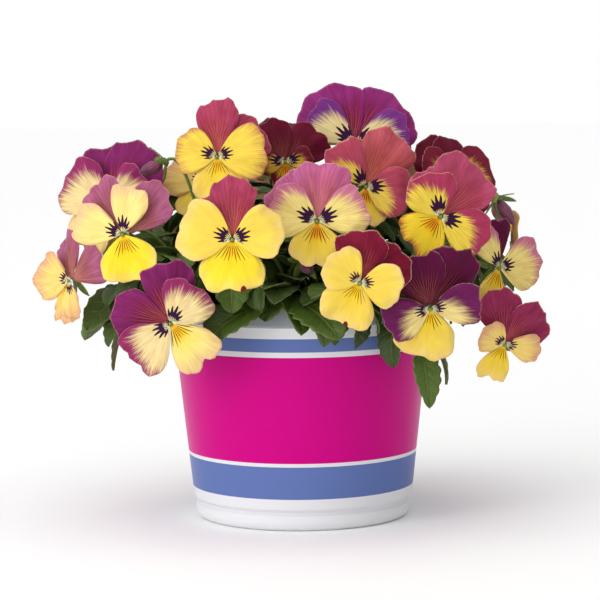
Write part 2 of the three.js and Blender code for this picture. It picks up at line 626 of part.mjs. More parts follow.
// The leaves that a stem would bear at its end.
function leavesAtEnd(stem, curve) {
  const root = curve.getPointAt(STEM_END);
  const [heading] = headingOf(curve, 1);
  return stem.leaves.map(([turn, rise, droop, length, halfWidth, twist]) => {
    return { root, azimuth: heading + turn, rise, droop, twist, length, halfWidth };
  });
}

// The leaves that it would bear before that, by turns left and right of it.
function leavesAlong(plant, stemNumber, stem, curve) {
  const leaves = [];
  const steps = stem.leaves.length ? STEM_STEPS - 1 : STEM_STEPS;
  for (let i = FIRST_LEAF_STEP; i <= steps; i++) {
    const draw = (key) => chance(plant, stemNumber, i, key);
    const [heading, steep] = headingOf(curve, i / STEM_STEPS);
    const side = i % 2 ? 1 : -1;
    leaves.push({
      root: curve.getPointAt(Math.min(i / STEM_STEPS, STEM_END)),
      azimuth: heading + side * (i === STEM_STEPS ? 8 : 52 + 18 * draw(1)),
      rise: Math.min(60, 0.6 * steep + 20 + 16 * draw(2)),
      droop: 50 + 30 * draw(3),
      twist: 24 * (draw(4) - 0.5),
      length: 39 + 14 * draw(5),
      halfWidth: 11 + 3.6 * draw(6),
    });
  }
  return leaves;
}

// A leaf: a short three sided stalk that starts inside its stem, then a folded blade with a toothed rim.
function makeLeaf(leaf) {
  const points = [];
  const add = (along, side, above) => points.push(leafPoint(leaf, along, side, above)) - 1;
  const half = LEAF_THICKNESS / 2;
  const bladeAt = (share) => LEAF_STALK_SHARE + (1 - LEAF_STALK_SHARE) * share;
  const root = [add(0, -1, 0), add(0, 0, LEAF_STALK_RADIUS), add(0, 1, 0)];
  const tip = add(1, 0, 0);
  const spine = LEAF_SPINE.map((share) => [half, -half].map((above) => add(bladeAt(share), 0, above)));
  const [top, bottom] = spine[0];
  const faces = [[root[0], root[1], root[2]], [root[0], root[2], bottom]];
  for (const side of [-1, 1]) {
    const steps = 2 * LEAF_TEETH;
    const rim = Array.from({ length: steps }, (_, i) => add(bladeAt(i / steps), side, 0));
    const blade = sheetFaces([[...spine, [tip, tip]], [...rim, tip].map((point) => [point, point])]);
    const corner = root[1 + side];
    const stalk = [[root[1], top, rim[0]], [root[1], rim[0], corner], [corner, rim[0], bottom]];
    const made = [...stalk, ...blade.filter((corners) => new Set(corners).size === 3)];
    faces.push(...(side === 1 ? made : made.map(([a, b, c]) => [a, c, b])));
  }
  return solidFromFaces(points, faces);
}

const plantOf = ([x, y]) => {
  const azimuth = THREE.MathUtils.radToDeg(Math.atan2(y, x));
  return Math.floor(((azimuth - FIRST_WEDGE + 720) % 360) / WEDGE);
};

// A plant's green: its crown, stems and leaves, and the stalks and calyces of its flowers and buds.
function makePlant(plant, blooms, buds) {
  const [x, y] = crownOf(plant);
  const heads = [...blooms, ...buds].filter((head) => head.plant === plant);
  const stems = STEMS.map((stem) => stemCurve(plant, stem));
  const stalks = stalksOf(plant, stems, heads, blooms);
  const earlier = [...stems, ...stalks].flatMap((curve) => curve.getPoints(16).slice(4));
  const leaves = [];
  const atEnds = STEMS.flatMap((stem, number) => leavesAtEnd(stem, stems[number]));
  const along = STEMS.flatMap((stem, number) => leavesAlong(plant, number, stem, stems[number]));
  for (const wanted of [...atEnds, ...along]) {
    const tries = LEAF_TURNS.map((turn, attempt) => shifted(wanted, attempt));
    const leaf = tries.find((one) => leafIsFree(one, plant, blooms, earlier));
    if (!leaf || leaves.length === MOST_LEAVES) continue;
    leaves.push(leaf);
    earlier.push(...leaf.marks);
  }
  return joined([
    round(CROWN_RADIUS, SOIL_TOP - CROWN_DEPTH, CROWN_TOP, CROWN_HOLE_SIDES).translate(x, y, 0),
    ...stems.map((curve) => makeRod(curve, STEM_RADIUS, STEM_STEPS)),
    ...stalks.map((curve) => makeRod(curve, STALK_RADIUS, STALK_STEPS)),
    ...heads.map((head) => makeCalyx(head, head.calyxTop, head.spreadBack)),
    ...leaves.map(makeLeaf),
  ]);
}

// The furled petals of a bud: a pointed drop in front of its calyx.
function makeBud(bud) {
  const profile = BUD_PROFILE.map(([r, z]) => new THREE.Vector2(r * bud.radius, z * bud.length));
  const shape = new THREE.LatheGeometry(profile, BUD_SIDES);
  const { across, up, out } = bud.frame;
  const place = new THREE.Matrix4().makeBasis(across, up, out).setPosition(inBloom(bud, 0, 0, SEAT_GAP));
  return solidFrom(shape.rotateX(Math.PI / 2).applyMatrix4(place));
}

const blooms = BLOOMS.map((bloom, number) => {
  const calyx = { calyxTop: CALYX_TOP, back: CALYX_TOP - CALYX_DEPTH / 2, spreadBack: SEPALS_BACK.bloom };
  return { ...bloom, ...calyx, number, frame: frameOf(bloom.turn), plant: plantOf(bloom.at) };
});
const buds = BUDS.map((bud, number) => {
  const calyx = { calyxTop: 0, back: -CALYX_DEPTH / 2, spreadBack: SEPALS_BACK.bud };
  return { ...bud, ...calyx, number, frame: frameOf(bud.turn), plant: plantOf(bud.at) };
});

const planter = new THREE.Group();
planter.add(meshFrom(makePot(), "pot", COLOURS.pot));
planter.add(meshFrom(makeSoil(), "soil", COLOURS.soil));
PLANT_NAMES.forEach((name, plant) => {
  planter.add(meshFrom(makePlant(plant, blooms, buds), `plant_${name}`, COLOURS.plant));
});
for (const bloom of blooms) {
  const name = `bloom_${String(bloom.number + 1).padStart(2, "0")}`;
  const uppers = joined([makeHub(bloom, UPPER_HUB), ...UPPER_PETALS.map((petal) => makePetal(bloom, petal))]);
  const face = joined([makeHub(bloom, FACE_HUB), ...FACE_PETALS.map((petal) => makePetal(bloom, petal))]);
  const look = (key) => ({ color: PETAL_COLOURS[key], roughness: 0.6, metalness: 0 });
  planter.add(meshFrom(uppers, `${name}_upper`, look(bloom.upper)));
  planter.add(meshFrom(face, `${name}_face`, look(bloom.face)));
}
for (const bud of buds) {
  planter.add(meshFrom(makeBud(bud), `bud_${bud.number + 1}`, COLOURS.bud));
}

export default planter;
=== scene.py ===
"""The looks of garden pansies in a plain six inch nursery pot.

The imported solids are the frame. Each leafy plant, flower, bud, the soil and the pot gets a finer mesh of the
same form, made here by rule, and procedural materials. Sizes are in millimetres and angles in degrees, in the
frame of the solids, and become metres where a mesh is made.
"""

import json
import math

import bpy
import numpy as np
from mathutils import Matrix, Vector, noise


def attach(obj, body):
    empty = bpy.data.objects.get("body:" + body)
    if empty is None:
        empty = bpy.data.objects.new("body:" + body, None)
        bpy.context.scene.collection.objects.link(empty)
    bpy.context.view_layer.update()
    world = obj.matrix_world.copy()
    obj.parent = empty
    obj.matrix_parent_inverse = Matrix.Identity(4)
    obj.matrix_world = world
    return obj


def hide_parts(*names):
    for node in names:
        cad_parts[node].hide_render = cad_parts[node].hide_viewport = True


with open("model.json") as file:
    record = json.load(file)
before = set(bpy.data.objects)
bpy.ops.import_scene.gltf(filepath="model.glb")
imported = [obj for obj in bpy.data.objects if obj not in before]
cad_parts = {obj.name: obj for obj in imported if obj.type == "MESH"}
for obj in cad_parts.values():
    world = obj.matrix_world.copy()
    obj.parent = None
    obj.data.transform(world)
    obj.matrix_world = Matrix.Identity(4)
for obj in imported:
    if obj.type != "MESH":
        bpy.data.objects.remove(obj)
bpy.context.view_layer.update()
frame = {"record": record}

MM = 0.001

# Studio, with how bright its light makes a white surface: colours are given as they look in it
STUDIO_LIGHT = 1.14
# How bright the sky is at the left, at the right and at the horizon, and the heights between which that fades
SKY = dict(left=0.66, right=0.46, horizon=1.0, horizon_ends=(0.04, 0.14))
# Each lamp: its kind, its place and what it is aimed at in metres, its power, and how wide it is
LAMPS = {
    "overhead": ("SUN", (0.0, -0.3, 1.4), (0.0, 0.0, 0.0), 0.96, dict(angle=math.radians(70))),
    "left": ("SUN", (-0.65, -1.0, 0.95), (0.0, 0.0, 0.0), 0.8, dict(angle=math.radians(70))),
    "soft_box": (
        "AREA", (-1.3, -1.15, 0.45), (0.0, 0.0, 0.1), 9.5, dict(shape="RECTANGLE", size=0.6, size_y=1.1)),
}
FLOOR_HALF_SIDE = 9.0  # metres
FLOOR_WHITENS = (0.5, 1.4)  # metres from the pot's axis between which the floor turns whiter

# Camera, fitted to the ellipses of the pot's bands in the photograph
IMAGE_SIDE = 600
FOCAL_PIXELS = 2528.7
PRINCIPAL_X = 300.56
CAMERA_AT = (-0.3, -1454.0, 260.7)
CAMERA_PITCH = 5.361  # downwards
CAMERA_ROLL = 0.643  # clockwise
SENSOR_WIDTH = 36.0

# Pot
POT_HEIGHT = 128.0
WALL_RADIUS_AT_GROUND = 61.9
WALL_TAPER = 0.1083
WALL_THICKNESS = 1.5
LIP_BOTTOM = 115.5
LIP_RADIUS = 76.8
FOOT_HEIGHT = 9.3
FOOT_RADIUS = 61.9
FOOT_BOTTOM_RADIUS = 59.0
RING_INNER_RADIUS = 51.5
PAD_RADIUS = 16.0
CHANNEL_HEIGHT = 2.5
DRAIN_HOLES = 6
DRAIN_HOLE_RADIUS = 3.5
DRAIN_CIRCLE_RADIUS = 42.0
POT_SIDES = 144
# The printed bands of the wall: where each begins, and its colour
BANDS = [
    (0.0, "white"), (18.3, "blue"), (36.6, "white"), (38.6, "magenta"),
    (98.6, "white"), (101.6, "blue"), (109.5, "white"),
]
# The lip's grey is painted shade of the leaves that hang over it, on plastic as white as the rest
LIP_PAINTED_SHADE_COLOUR = "#9a9da4"
BAND_COLOURS = {"white": "#e9e9ec", "blue": "#6478b4", "magenta": "#d20086"}

# Soil
SOIL_TOP = 118.0
SOIL_ROUGHNESS = 1.6
SEAT_GAP = 0.3
SOIL_RINGS = 34
SOIL_SPOKES = 120
BARK_CHIPS = 190

# Plants
PLANT_NAMES = ["front", "right", "left"]
FIRST_WEDGE = 210.0  # where the front plant's share of the pot begins
WEDGE = 360.0 / len(PLANT_NAMES)
CROWN_DISTANCE = 27.0
CROWN_RADIUS = 4.2
CROWN_DEPTH = 12.0
CROWN_TOP = 124.0
STEM_RADIUS = 1.5
STALK_RADIUS = 1.0
STALK_TRIES = 16
STALK_BEHIND = 26.0  # how far behind a flower, and then below, the best place for its stalk to begin is
STALK_BELOW = 30.0
# A stalk's two bends, as shares of the straight way to its flower: along that and up, then back from the
# flower and up
STALK_RISE = (0.25, 0.3)
STALK_HOOK = (0.4, 0.12)
CLEAR_OF_WEDGE = 0.8
CLEAR_OF_SOIL = 1.5
CLEAR_OF_WALL = 4
CLEAR_OF_LIP = (6, 2)  # inwards and outwards
# The room that a flower takes: how far out from its throat, and how far back and forward along its axis
PETAL_ROOM = dict(radius=34, margin=1.5, back=-3.5, slopes=(0.08, 0.26), front=7)
THROAT_ROOM = dict(radius=9, back=-12, front=7)
STEM_STEPS = 5
STEM_END = 0.98
FIRST_LEAF_STEP = 2
FIRST_STALK_STEP = 1
# Where a leaf has no room it is turned, raised less, bent more and made smaller, attempt by attempt
LEAF_TURNS = [0, 14, -14, 28, -28, 42, -42, 56, -56, 20, -20, 0]
LEAF_STEPS = dict(rise=14, droop=4, length=0.025, half_width=0.03)
LEAF_RISES = 4  # attempts after which the rise begins again
# What is drawn for each leaf along a stem: the least, and how much more it can be
LEAF_KEYS = ("rise", "droop", "twist", "length", "half_width")
LEAF_SPANS = dict(rise=(20, 16), droop=(50, 30), twist=(-12, 24), length=(39, 14), half_width=(11, 3.6))
STEEPEST_LEAF = 60
MOST_LEAVES = 26
LEAF_GAP = 5.0
# The stems of a plant: the turn from its middle, the rise, the reach and the arch. Then the leaves at their
# ends, each with its turn from the stem, rise, droop, length, half width and twist.
STEMS = [
    dict(turn=-55, rise=11, reach=110, arch=20,
         leaves=[(2, -42, 50, 46, 11, -36), (12, -72, 40, 48, 9, -36)]),
    dict(turn=-7, rise=6, reach=75, arch=14,
         leaves=[(-66, -6, 46, 54, 14, -34), (50, 0, 46, 52, 14.5, 24), (-10, 34, 40, 34, 9, 0)]),
    dict(turn=21, rise=4, reach=87, arch=18,
         leaves=[(-112, 16, 50, 32, 9, -16), (52, -12, 44, 36, 9, 20), (-4, -24, 44, 30, 8, 0)]),
    dict(turn=43, rise=-8, reach=96, arch=34, leaves=[(-36, -54, 30, 44, 8, 0), (20, -16, 60, 36, 8, 0)]),
    dict(turn=-30, rise=24, reach=84, arch=14, leaves=[(-40, -4, 56, 44, 12, 0), (30, -18, 46, 42, 12, 0)]),
    dict(turn=4, rise=36, reach=84, arch=12, leaves=[]),
    dict(turn=34, rise=44, reach=80, arch=12, leaves=[]),
    dict(turn=-8, rise=72, reach=70, arch=8, leaves=[]),
]
PLANT_LIFTS = [0, 4, 9]  # how much more each plant's stems rise

# Leaves
SOLID_LEAF = dict(teeth=3, fullness=0.8)
SHOWN_LEAF = dict(teeth=6, fullness=0.66)
TOOTH_DEPTH = 0.17
LEAF_STALK_SHARE = 0.2
LEAF_THICKNESS = 0.7
LEAF_FOLD = 0.22
LEAF_STALK_RADIUS = 0.8
LEAF_MIDDLE = 0.85
LEAF_VEINS = 7  # side veins on each side, if they began at the foot of the leaf's stalk
VEIN_SLANT = 0.17  # how far along the leaf they run from midrib to rim, as a share of its length
LEAF_TRIAL = [(along, side) for along in (0.35, 0.5, 0.65, 0.8, 0.92) for side in (-0.8, 0.0, 0.8)]
LEAF_TRIAL.append((1.0, 0.0))
LEAF_GRID = (37, 11)
SMALL_LEAF_GRID = (25, 9)
# Small leaves between the others, which only the looks have: first tufts at the ends of the stems that turn
# to the sides, then leaves along all the stems. Each pass says how far its stems turn at least, where on them
# the leaves begin, over what angle they spread, and the rise and twist that are drawn for them.
UNDERGROWTH = [
    dict(least_turn=25, lowest=0.86, spread=150, rise=(-62, 60), twist=(-85, 170), tries=2400),
    dict(least_turn=0, lowest=0.25, spread=260, rise=(-20, 62), twist=(-25, 50), tries=7000),
]
SMALL_LEAF_SPANS = dict(droop=(35, 50), length=(24, 22), half_width=(6.5, 4.5))
MOST_UNDERGROWTH = 110
UNDERGROWTH_GAP = 3.0
LOWEST_UNDERGROWTH = 99.0

# Flowers
PETAL_THICKNESS = 0.7
PETAL_EDGE = 0.985
PETAL_ROWS = 20
PETAL_COLUMNS = 31
CALYX_TOP = -2.7
CALYX_DEPTH = 3.6
CALYX_RADIUS = 3.0
SEPALS = 5
SEPAL_LENGTH = 11.0
HAIRS = 18  # in each of the two lines beside a throat
# Each petal: the way it points, its reach, half its spread, how far forward it is seated, its lean, the depth
# of its notch as a share, and how much its rim curls
PETALS = {
    "upper_left": dict(way=119, reach=31, spread=62, seat=-2, lean=-9, notch=0, curl=1.2),
    "upper_right": dict(way=61, reach=31, spread=62, seat=-2, lean=-9, notch=0, curl=1.2),
    "side_left": dict(way=166, reach=28, spread=58, seat=0.6, lean=6, notch=0, curl=2.4),
    "side_right": dict(way=14, reach=28, spread=58, seat=0.6, lean=6, notch=0, curl=2.4),
    "lower": dict(way=270, reach=28, spread=66, seat=0, lean=1.5, notch=0.09, curl=1.8),
}
UPPER_OVERLAP = (0.5, 2)  # how much higher the one on top is seated, and how much more it leans
WAVE_RADIUS = 28  # where the waves of a face have their full height

# What a petal is coloured like: the ground near its throat, the edge towards its rim, where along it the
# edge begins and is full and how much sooner on its upper side, and how strong its veins and rim line are.
LOOKS = {
    # upper petals
    "mauve": ("#c84c50", "#ba4868", (0.2, 0.95, 0), 0.6, 0.35),
    "wine": ("#a41c3c", "#861436", (0.1, 0.8, 0), 0.6, 0.75),
    "maroon": ("#6e0618", "#6c082c", (0.1, 0.8, 0), 0.35, 0.3),
    "berry": ("#b82e54", "#a2345e", (0.1, 0.8, 0), 0.6, 0.75),
    "plum": ("#6c0a2e", "#600c40", (0.2, 0.95, 0), 0.4, 0.35),
    "magenta": ("#901638", "#8a266c", (0.2, 0.95, 0), 0.5, 0.3),
    "pink": ("#e08088", "#cc6c9c", (0.2, 1.0, 0), 0.5, 0.5),
    "coral": ("#cc6050", "#c45c66", (0.2, 1.0, 0), 0.45, 0.45),
    "rose": ("#c8505a", "#c05274", (0.2, 1.0, 0), 0.45, 0.45),
    "violet": ("#a01c4a", "#9a3080", (0.3, 0.95, 0), 0.5, 0.25),
    "dusky": ("#bc746a", "#bc6a8e", (0.2, 1.0, 0), 0.6, 0.4),
    # lower and side petals
    "sunny": ("#ffe236", "#fbdc70", (0.75, 1.05, 0), 0.07, 0.3),
    "lemon": ("#fcdb58", "#fbd880", (0.75, 1.05, 0), 0.07, 0.3),
    "lemon_brushed": ("#fddd54", "#c47a58", (0.74, 1.16, 0), 0.15, 0.3),
    "pale": ("#ffe88c", "#f3c896", (0.7, 1.1, 0.12), 0.1, 0.4),
    "blush": ("#fde88a", "#cc7494", (0.7, 1.08, 0.26), 0.3, 0.5),
    "feathered": ("#f8e2a0", "#9a2f68", (0.66, 0.98, 0.22), 0.28, 0.35),
    "violet_feathered": ("#f6e3a2", "#7c3286", (0.62, 0.92, 0.2), 0.25, 0.2),
    "half_rose": ("#ffe352", "#b03c5e", (0.6, 0.86, 0.4), 0.28, 0.6),
    "salmon": ("#ffdf5a", "#bc4c64", (0.42, 0.68, 0.42), 0.3, 0.55),
    "purple_top": ("#fbe694", "#74205c", (0.36, 0.78, 0.42), 0.34, 0.45),
    "smoky": ("#e8bc40", "#7c1c34", (0.5, 0.8, 0.2), 0.35, 0.35),
    "peach": ("#fbdc7c", "#e8a888", (0.6, 1.15, 0.1), 0.2, 0.5),
    "tipped": ("#ffdc3c", "#b84430", (0.84, 1.06, 0), 0.1, 0.35),
}

# Each flower: its throat, the turn of its face, its size, the looks of its upper, side and lower petals, and
# how strong its blotch is. Then what is its own: the way, reach and half spread of its petals, in the order
# of PETALS, which upper petal lies over the other, and at what angle a red spot marks the lower petal.
BLOOMS = [
    ((-36, -118, 168), (-6, 4, 0), 1.0, "mauve", "lemon", "sunny", 0.8,
     dict(notch_spot=-15,
          petals=[(126, 28, 42), (91, 33, 36), (165, 29.5, 56), (13, 27.5, 52), (268, 29, 62)])),
    ((31, -128, 145), (6, 0, 26), 0.86, "wine", "lemon", "lemon", 0.5,
     dict(notch_spot=-8, over="left",
          petals=[(110, 32, 50), (50, 34, 45), (167, 25, 62), (20, 26, 54), (268, 29.5, 62)])),
    ((69, -106, 129), (6, -22, 0), 0.96, "plum", "purple_top", "lemon", 0.6,
     dict(over="left", petals=[(110, 32, 48), (58, 37, 42), (200, 27, 50), (8, 29, 44), (266, 32, 54)])),
    ((9, -99, 176), (0, 8, 0), 1.0, "pink", "blush", "lemon", 1.0,
     dict(petals=[(135, 31, 45), (82, 33, 46), (160, 27, 56), (16, 28, 47), (268, 25, 60)])),
    ((-71, -90, 121), (-12, -8, -44), 1.06, "magenta", "feathered", "pale", 0.8,
     dict(over="left", petals=[(134, 32.5, 48), (50, 31, 44), (180, 30, 46), (6, 25.5, 56), (268, 29, 44)])),
    ((76, -86, 177), (10, 6, 38), 1.0, "rose", "half_rose", "tipped", 1.0,
     dict(petals=[(140, 27, 40), (90, 37, 50), (150, 24.5, 62), (8, 28.5, 48), (262, 24, 60)])),
    ((-96.5, -80, 169), (-22, 0, -16), 1.0, "dusky", "pale", "sunny", 0.8,
     dict(over="left", petals=[(112, 34, 38), (32, 33, 38), (150, 29, 38), (58, 27, 40), (266, 28, 64)])),
    ((36, -74, 193), (2, 10, 14), 0.92, "coral", "salmon", "lemon", 1.0,
     dict(petals=[(128, 30, 42), (72, 38, 42), (140, 30.5, 38), (2, 27, 58), (285, 24, 50)])),
    ((-45, -68, 210), (-8, 12, 0), 0.9, "mauve", "lemon_brushed", "lemon", 0.8,
     dict(over="left", petals=[(93, 36, 36), (36, 32.5, 44), (168, 26, 56), (8, 31, 54), (276, 29, 60)])),
    ((112, -66, 105), (12, -20, 0), 0.85, "berry", "peach", "lemon", 0.5,
     dict(petals=[(100, 35, 42), (32, 33.5, 50), (148, 19.5, 60), (-12, 25, 38), (250, 27, 40)])),
    ((110, -52, 146), (34, 0, 0), 0.95, "plum", "blush", "lemon", 0.8,
     dict(petals=[(112, 29, 30), (80, 28.5, 27), (122, 26, 34), (4, 29, 56), (250, 23.5, 42)])),
    ((-8, -48, 206), (4, 12, 4), 0.76, "maroon", "smoky", "smoky", 1.0,
     dict(over="left", petals=[(112, 34, 42), (44, 37, 44), (185, 20, 50), (12, 20, 46), (272, 19, 55)])),
    ((-129, -46, 141), (-50, 0, 0), 0.9, "dusky", "peach", "peach", 0.6,
     dict(petals=[(128, 33, 42), (32, 34, 40), (176, 30, 50), (284, 24, 40), (252, 28, 38)])),
    ((-108, -33, 181), (-30, 12, 0), 1.12, "magenta", "feathered", "pale", 0.8,
     dict(petals=[(120, 34, 44), (64, 36, 50), (150, 30, 50), (40, 26, 40), (234, 27, 54)])),
    ((31, -22, 215), (0, 20, 2), 1.2, "violet", "violet_feathered", "pale", 0.9,
     dict(over="left", petals=[(124, 32.5, 54), (46, 32, 54), (146, 26, 40), (20, 27, 40), (270, 26, 60)])),
    ((-54, -20, 194), (-22, 24, 0), 0.86, "coral", "peach", "lemon", 0.6),
    ((90, -9, 195), (34, 26, 0), 0.92, "maroon", "smoky", "smoky", 0.9),
    ((122, 14, 156), (88, 4, 0), 0.95, "mauve", "lemon", "lemon", 0.8),
    ((104, 66, 142), (118, -4, -12), 0.9, "plum", "feathered", "pale", 0.9),
    ((66, 92, 180), (142, 14, 8), 1.0, "coral", "lemon_brushed", "lemon", 0.8),
    ((24, 116, 148), (166, -2, 0), 0.94, "wine", "lemon", "lemon", 0.6),
    ((-34, 106, 176), (-164, 8, -8), 1.02, "pink", "blush", "lemon", 1.0),
    ((-84, 88, 140), (-136, -6, 14), 0.92, "plum", "purple_top", "lemon", 0.8),
    ((-108, 36, 170), (-108, 8, 0), 0.98, "mauve", "pale", "lemon", 0.8),
    ((-22, 42, 212), (-160, 46, 0), 0.96, "violet", "violet_feathered", "pale", 0.9),
    ((46, 44, 212), (140, 44, 0), 0.9, "coral", "salmon", "tipped", 1.0),
]
BLOOM_KEYS = ("at", "turn", "size", "upper", "side", "lower", "blotch")
# Each bud: where it begins, its turn, its length and radius, and how far back its stalk hooks
BUDS = [
    dict(at=(112, -30, 182), turn=(50, -52, 0), length=17, radius=4, hook=0.2),
    dict(at=(2, -86, 153), turn=(14, -18, 0), length=13, radius=4.4),
    dict(at=(-76, -50, 206), turn=(-84, -22, 0), length=14, radius=4, hook=0.15),
]


# Numbers and directions

def chance(*keys):
    """A number from 0 to 1 that is always the same for the same whole numbers."""
    value = 2166136261
    for key in keys:
        value = ((value ^ (key & 0xFFFFFFFF)) * 16777619) & 0xFFFFFFFF
        value ^= value >> 13
    value = (value * 1540483477) & 0xFFFFFFFF
    return (value ^ (value >> 15)) / 4294967296


def cosine(degrees):
    return math.cos(math.radians(degrees))


def sine(degrees):
    return math.sin(math.radians(degrees))


def wall_radius(z):
    return WALL_RADIUS_AT_GROUND + WALL_TAPER * z


def smooth(low, high, value):
    share = np.clip((value - low) / (high - low), 0, 1)
    return share * share * (3 - 2 * share)


def frame_of(turn):
    """The three directions of a flower or bud: across, up its face, and out of it."""
    yaw, pitch, roll = turn
    level = np.array([cosine(yaw), sine(yaw), 0])
    ahead = np.array([sine(yaw), -cosine(yaw), 0])
    upright = np.array([0, 0, 1])
    out = ahead * cosine(pitch) + upright * sine(pitch)
    above = upright * cosine(pitch) - ahead * sine(pitch)
    across = level * cosine(roll) - above * sine(roll)
    up = above * cosine(roll) + level * sine(roll)
    return across, up, out


def in_bloom(bloom, u, v, w):
    """Points given across, up and out of a flower's throat, in the pot's frame."""
    across, up, out = bloom["frame"]
    u, v, w = np.broadcast_arrays(u, v, w)
    return np.array(bloom["at"]) + u[..., None] * across + v[..., None] * up + w[..., None] * out


class Curve:
    """A cubic Bezier curve, with points by its own parameter or by the share of its length."""

    def __init__(self, *corners):
        self.corners = np.array(corners, float)
        self.steps = np.linspace(0, 1, 201)
        legs = np.linalg.norm(np.diff(self.points(self.steps), axis=0), axis=1)
        self.lengths = np.concatenate([[0], np.cumsum(legs)])

    def points(self, t):
        t = np.asarray(t, float)[..., None]
        a, b, c, d = self.corners
        return (1 - t) ** 3 * a + 3 * (1 - t) ** 2 * t * b + 3 * (1 - t) * t**2 * c + t**3 * d

    def parameter(self, share):
        return np.interp(np.asarray(share, float) * self.lengths[-1], self.lengths, self.steps)

    def at(self, share):
        return self.points(self.parameter(share))

    def heading(self, share):
        t = self.parameter(share)
        way = self.points(min(1, t + 1e-4)) - self.points(max(0, t - 1e-4))
        way /= np.linalg.norm(way)
        return math.degrees(math.atan2(way[1], way[0])), math.degrees(math.asin(way[2]))


# Meshes

def placed(name, data):
    """A new object in the scene."""
    thing = bpy.data.objects.new(name, data)
    bpy.context.scene.collection.objects.link(thing)
    return thing


class Shape:
    """Points, faces and values at the points, which grow into one mesh."""

    def __init__(self):
        self.points, self.faces, self.materials, self.values = [], [], [], []
        self.count = 0

    def add(self, points, faces, material=0, **values):
        points = np.asarray(points, float).reshape(-1, 3)
        self.points.append(points)
        self.faces += [tuple(int(corner) + self.count for corner in face) for face in faces]
        self.materials += [material] * len(faces)
        self.values.append((len(points), values))
        self.count += len(points)

    def add_sheet(self, front, back, material, flipped=False, **values):
        """A thin closed sheet, from the grids of its front and its back."""
        faces = sheet_faces(*front.shape[:2])
        points = np.concatenate([front.reshape(-1, 3), back.reshape(-1, 3)])
        self.add(points, faces[:, ::-1] if flipped else faces, material, **values)

    def mesh(self, name, materials, slot=None, replaced=()):
        """The piece in the scene, in metres, riding on the one body."""
        mesh = bpy.data.meshes.new(name)
        mesh.from_pydata((np.concatenate(self.points) * MM).tolist(), [], self.faces)
        for material in materials:
            mesh.materials.append(material)
        mesh.polygons.foreach_set("material_index", self.materials)
        mesh.polygons.foreach_set("use_smooth", [True] * len(self.faces))
        names = sorted({key for _, values in self.values for key in values})
        for key in names:
            rows = [np.broadcast_to(values.get(key, (0, 0, 0)), (count, 3)) for count, values in self.values]
            attribute = mesh.attributes.new(key, "FLOAT_VECTOR", "POINT")
            attribute.data.foreach_set("vector", np.concatenate(rows).astype(np.float32).ravel())
        mesh.update()
        piece = placed(name, mesh)
        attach(piece, "root")
        if replaced:
            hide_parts(*replaced)
        return piece


def grid_faces(rows, columns, closed=False):
    """Quads between the points of a grid, joined round to its first column where it is closed."""
    index = np.arange(rows * columns).reshape(rows, columns)
    if closed:
        index = np.concatenate([index, index[:, :1]], axis=1)
    corners = [index[:-1, :-1], index[:-1, 1:], index[1:, 1:], index[1:, :-1]]
    return np.stack(corners, axis=-1).reshape(-1, 4)


def sheet_faces(rows, columns):
    """Quads of a thin closed sheet: its front, its back, which has the same points again, and its rim."""
    index = np.arange(rows * columns).reshape(rows, columns)
    count = rows * columns
    front = grid_faces(rows, columns)
    loop = np.concatenate([index[0], index[1:, -1], index[-1, -2::-1], index[-2:0:-1, 0]])
    after = np.roll(loop, -1)
    rim = np.stack([after, loop, loop + count, after + count], axis=-1)
    return np.concatenate([front, front[:, ::-1] + count, rim])


def sheet_spots(along, across):
    """Where each point of a sheet is, along and across it, then 1 on its front and -1 on its back."""
    spot = np.stack(np.broadcast_arrays(along, across, 1.0), axis=-1).reshape(-1, 3)
    return np.concatenate([spot, spot * (1, 1, -1)])


def tube(points, radii, sides=8):
    """Points and faces of a closed tube along a line of points."""
    points = np.asarray(points, float)
    radii = np.broadcast_to(radii, len(points))
    ways = np.gradient(points, axis=0)
    ways /= np.linalg.norm(ways, axis=1)[:, None]
    side = np.cross(ways[0], [0.31, 0.17, 0.93])
    rings = []
    turn = np.radians(np.arange(sides) * 360 / sides)[:, None]
    for point, way, radius in zip(points, ways, radii):
        side = side - way * side.dot(way)
        side /= np.linalg.norm(side)
        rings.append(point + radius * (np.cos(turn) * side + np.sin(turn) * np.cross(way, side)))
    faces = [tuple(face) for face in grid_faces(len(points), sides, closed=True).tolist()]
    last = (len(points) - 1) * sides
    caps = [tuple(range(sides))[::-1], tuple(range(last, last + sides))]
    return np.concatenate(rings), faces + caps


def lathe(profile, sides):
    """Points and faces of a closed ring or drop turned about Z. A point on the axis is one point."""
    points, rings = [], []
    for radius, z in profile:
        if radius < 1e-6:
            rings.append([len(points)] * sides)
            points.append((0, 0, z))
            continue
        rings.append(list(range(len(points), len(points) + sides)))
        turns = [360 * i / sides for i in range(sides)]
        points += [(radius * cosine(turn), radius * sine(turn), z) for turn in turns]
    faces = []
    for near, far in zip(rings, rings[1:]):
        for i in range(sides):
            j = (i + 1) % sides
            face = (near[i], near[j], far[j], far[i])
            faces.append(tuple(dict.fromkeys(face)))
    return np.array(points), faces


def rounded(profile, radius, steps=4):
    """The same profile with its inner corners rounded."""
    corners = [np.array(point, float) for point in profile]
    result = [corners[0]]
    for before, corner, after in zip(corners, corners[1:], corners[2:]):
        to_before, to_after = before - corner, after - corner
        reach = min(radius, 0.45 * np.linalg.norm(to_before), 0.45 * np.linalg.norm(to_after))
        start = corner + to_before / np.linalg.norm(to_before) * reach
        end = corner + to_after / np.linalg.norm(to_after) * reach
        for t in np.linspace(0, 1, steps):
            result.append((1 - t) ** 2 * start + 2 * (1 - t) * t * corner + t**2 * end)
    result.append(corners[-1])
    return result


# Materials

def colour(code):
    """What a surface reflects to look like the colour #rrggbb in the studio's light."""
    parts = [int(code[i:i + 2], 16) / 255 for i in (1, 3, 5)]
    linear = [part / 12.92 if part <= 0.04045 else ((part + 0.055) / 1.055) ** 2.4 for part in parts]
    return tuple(part / STUDIO_LIGHT for part in linear)


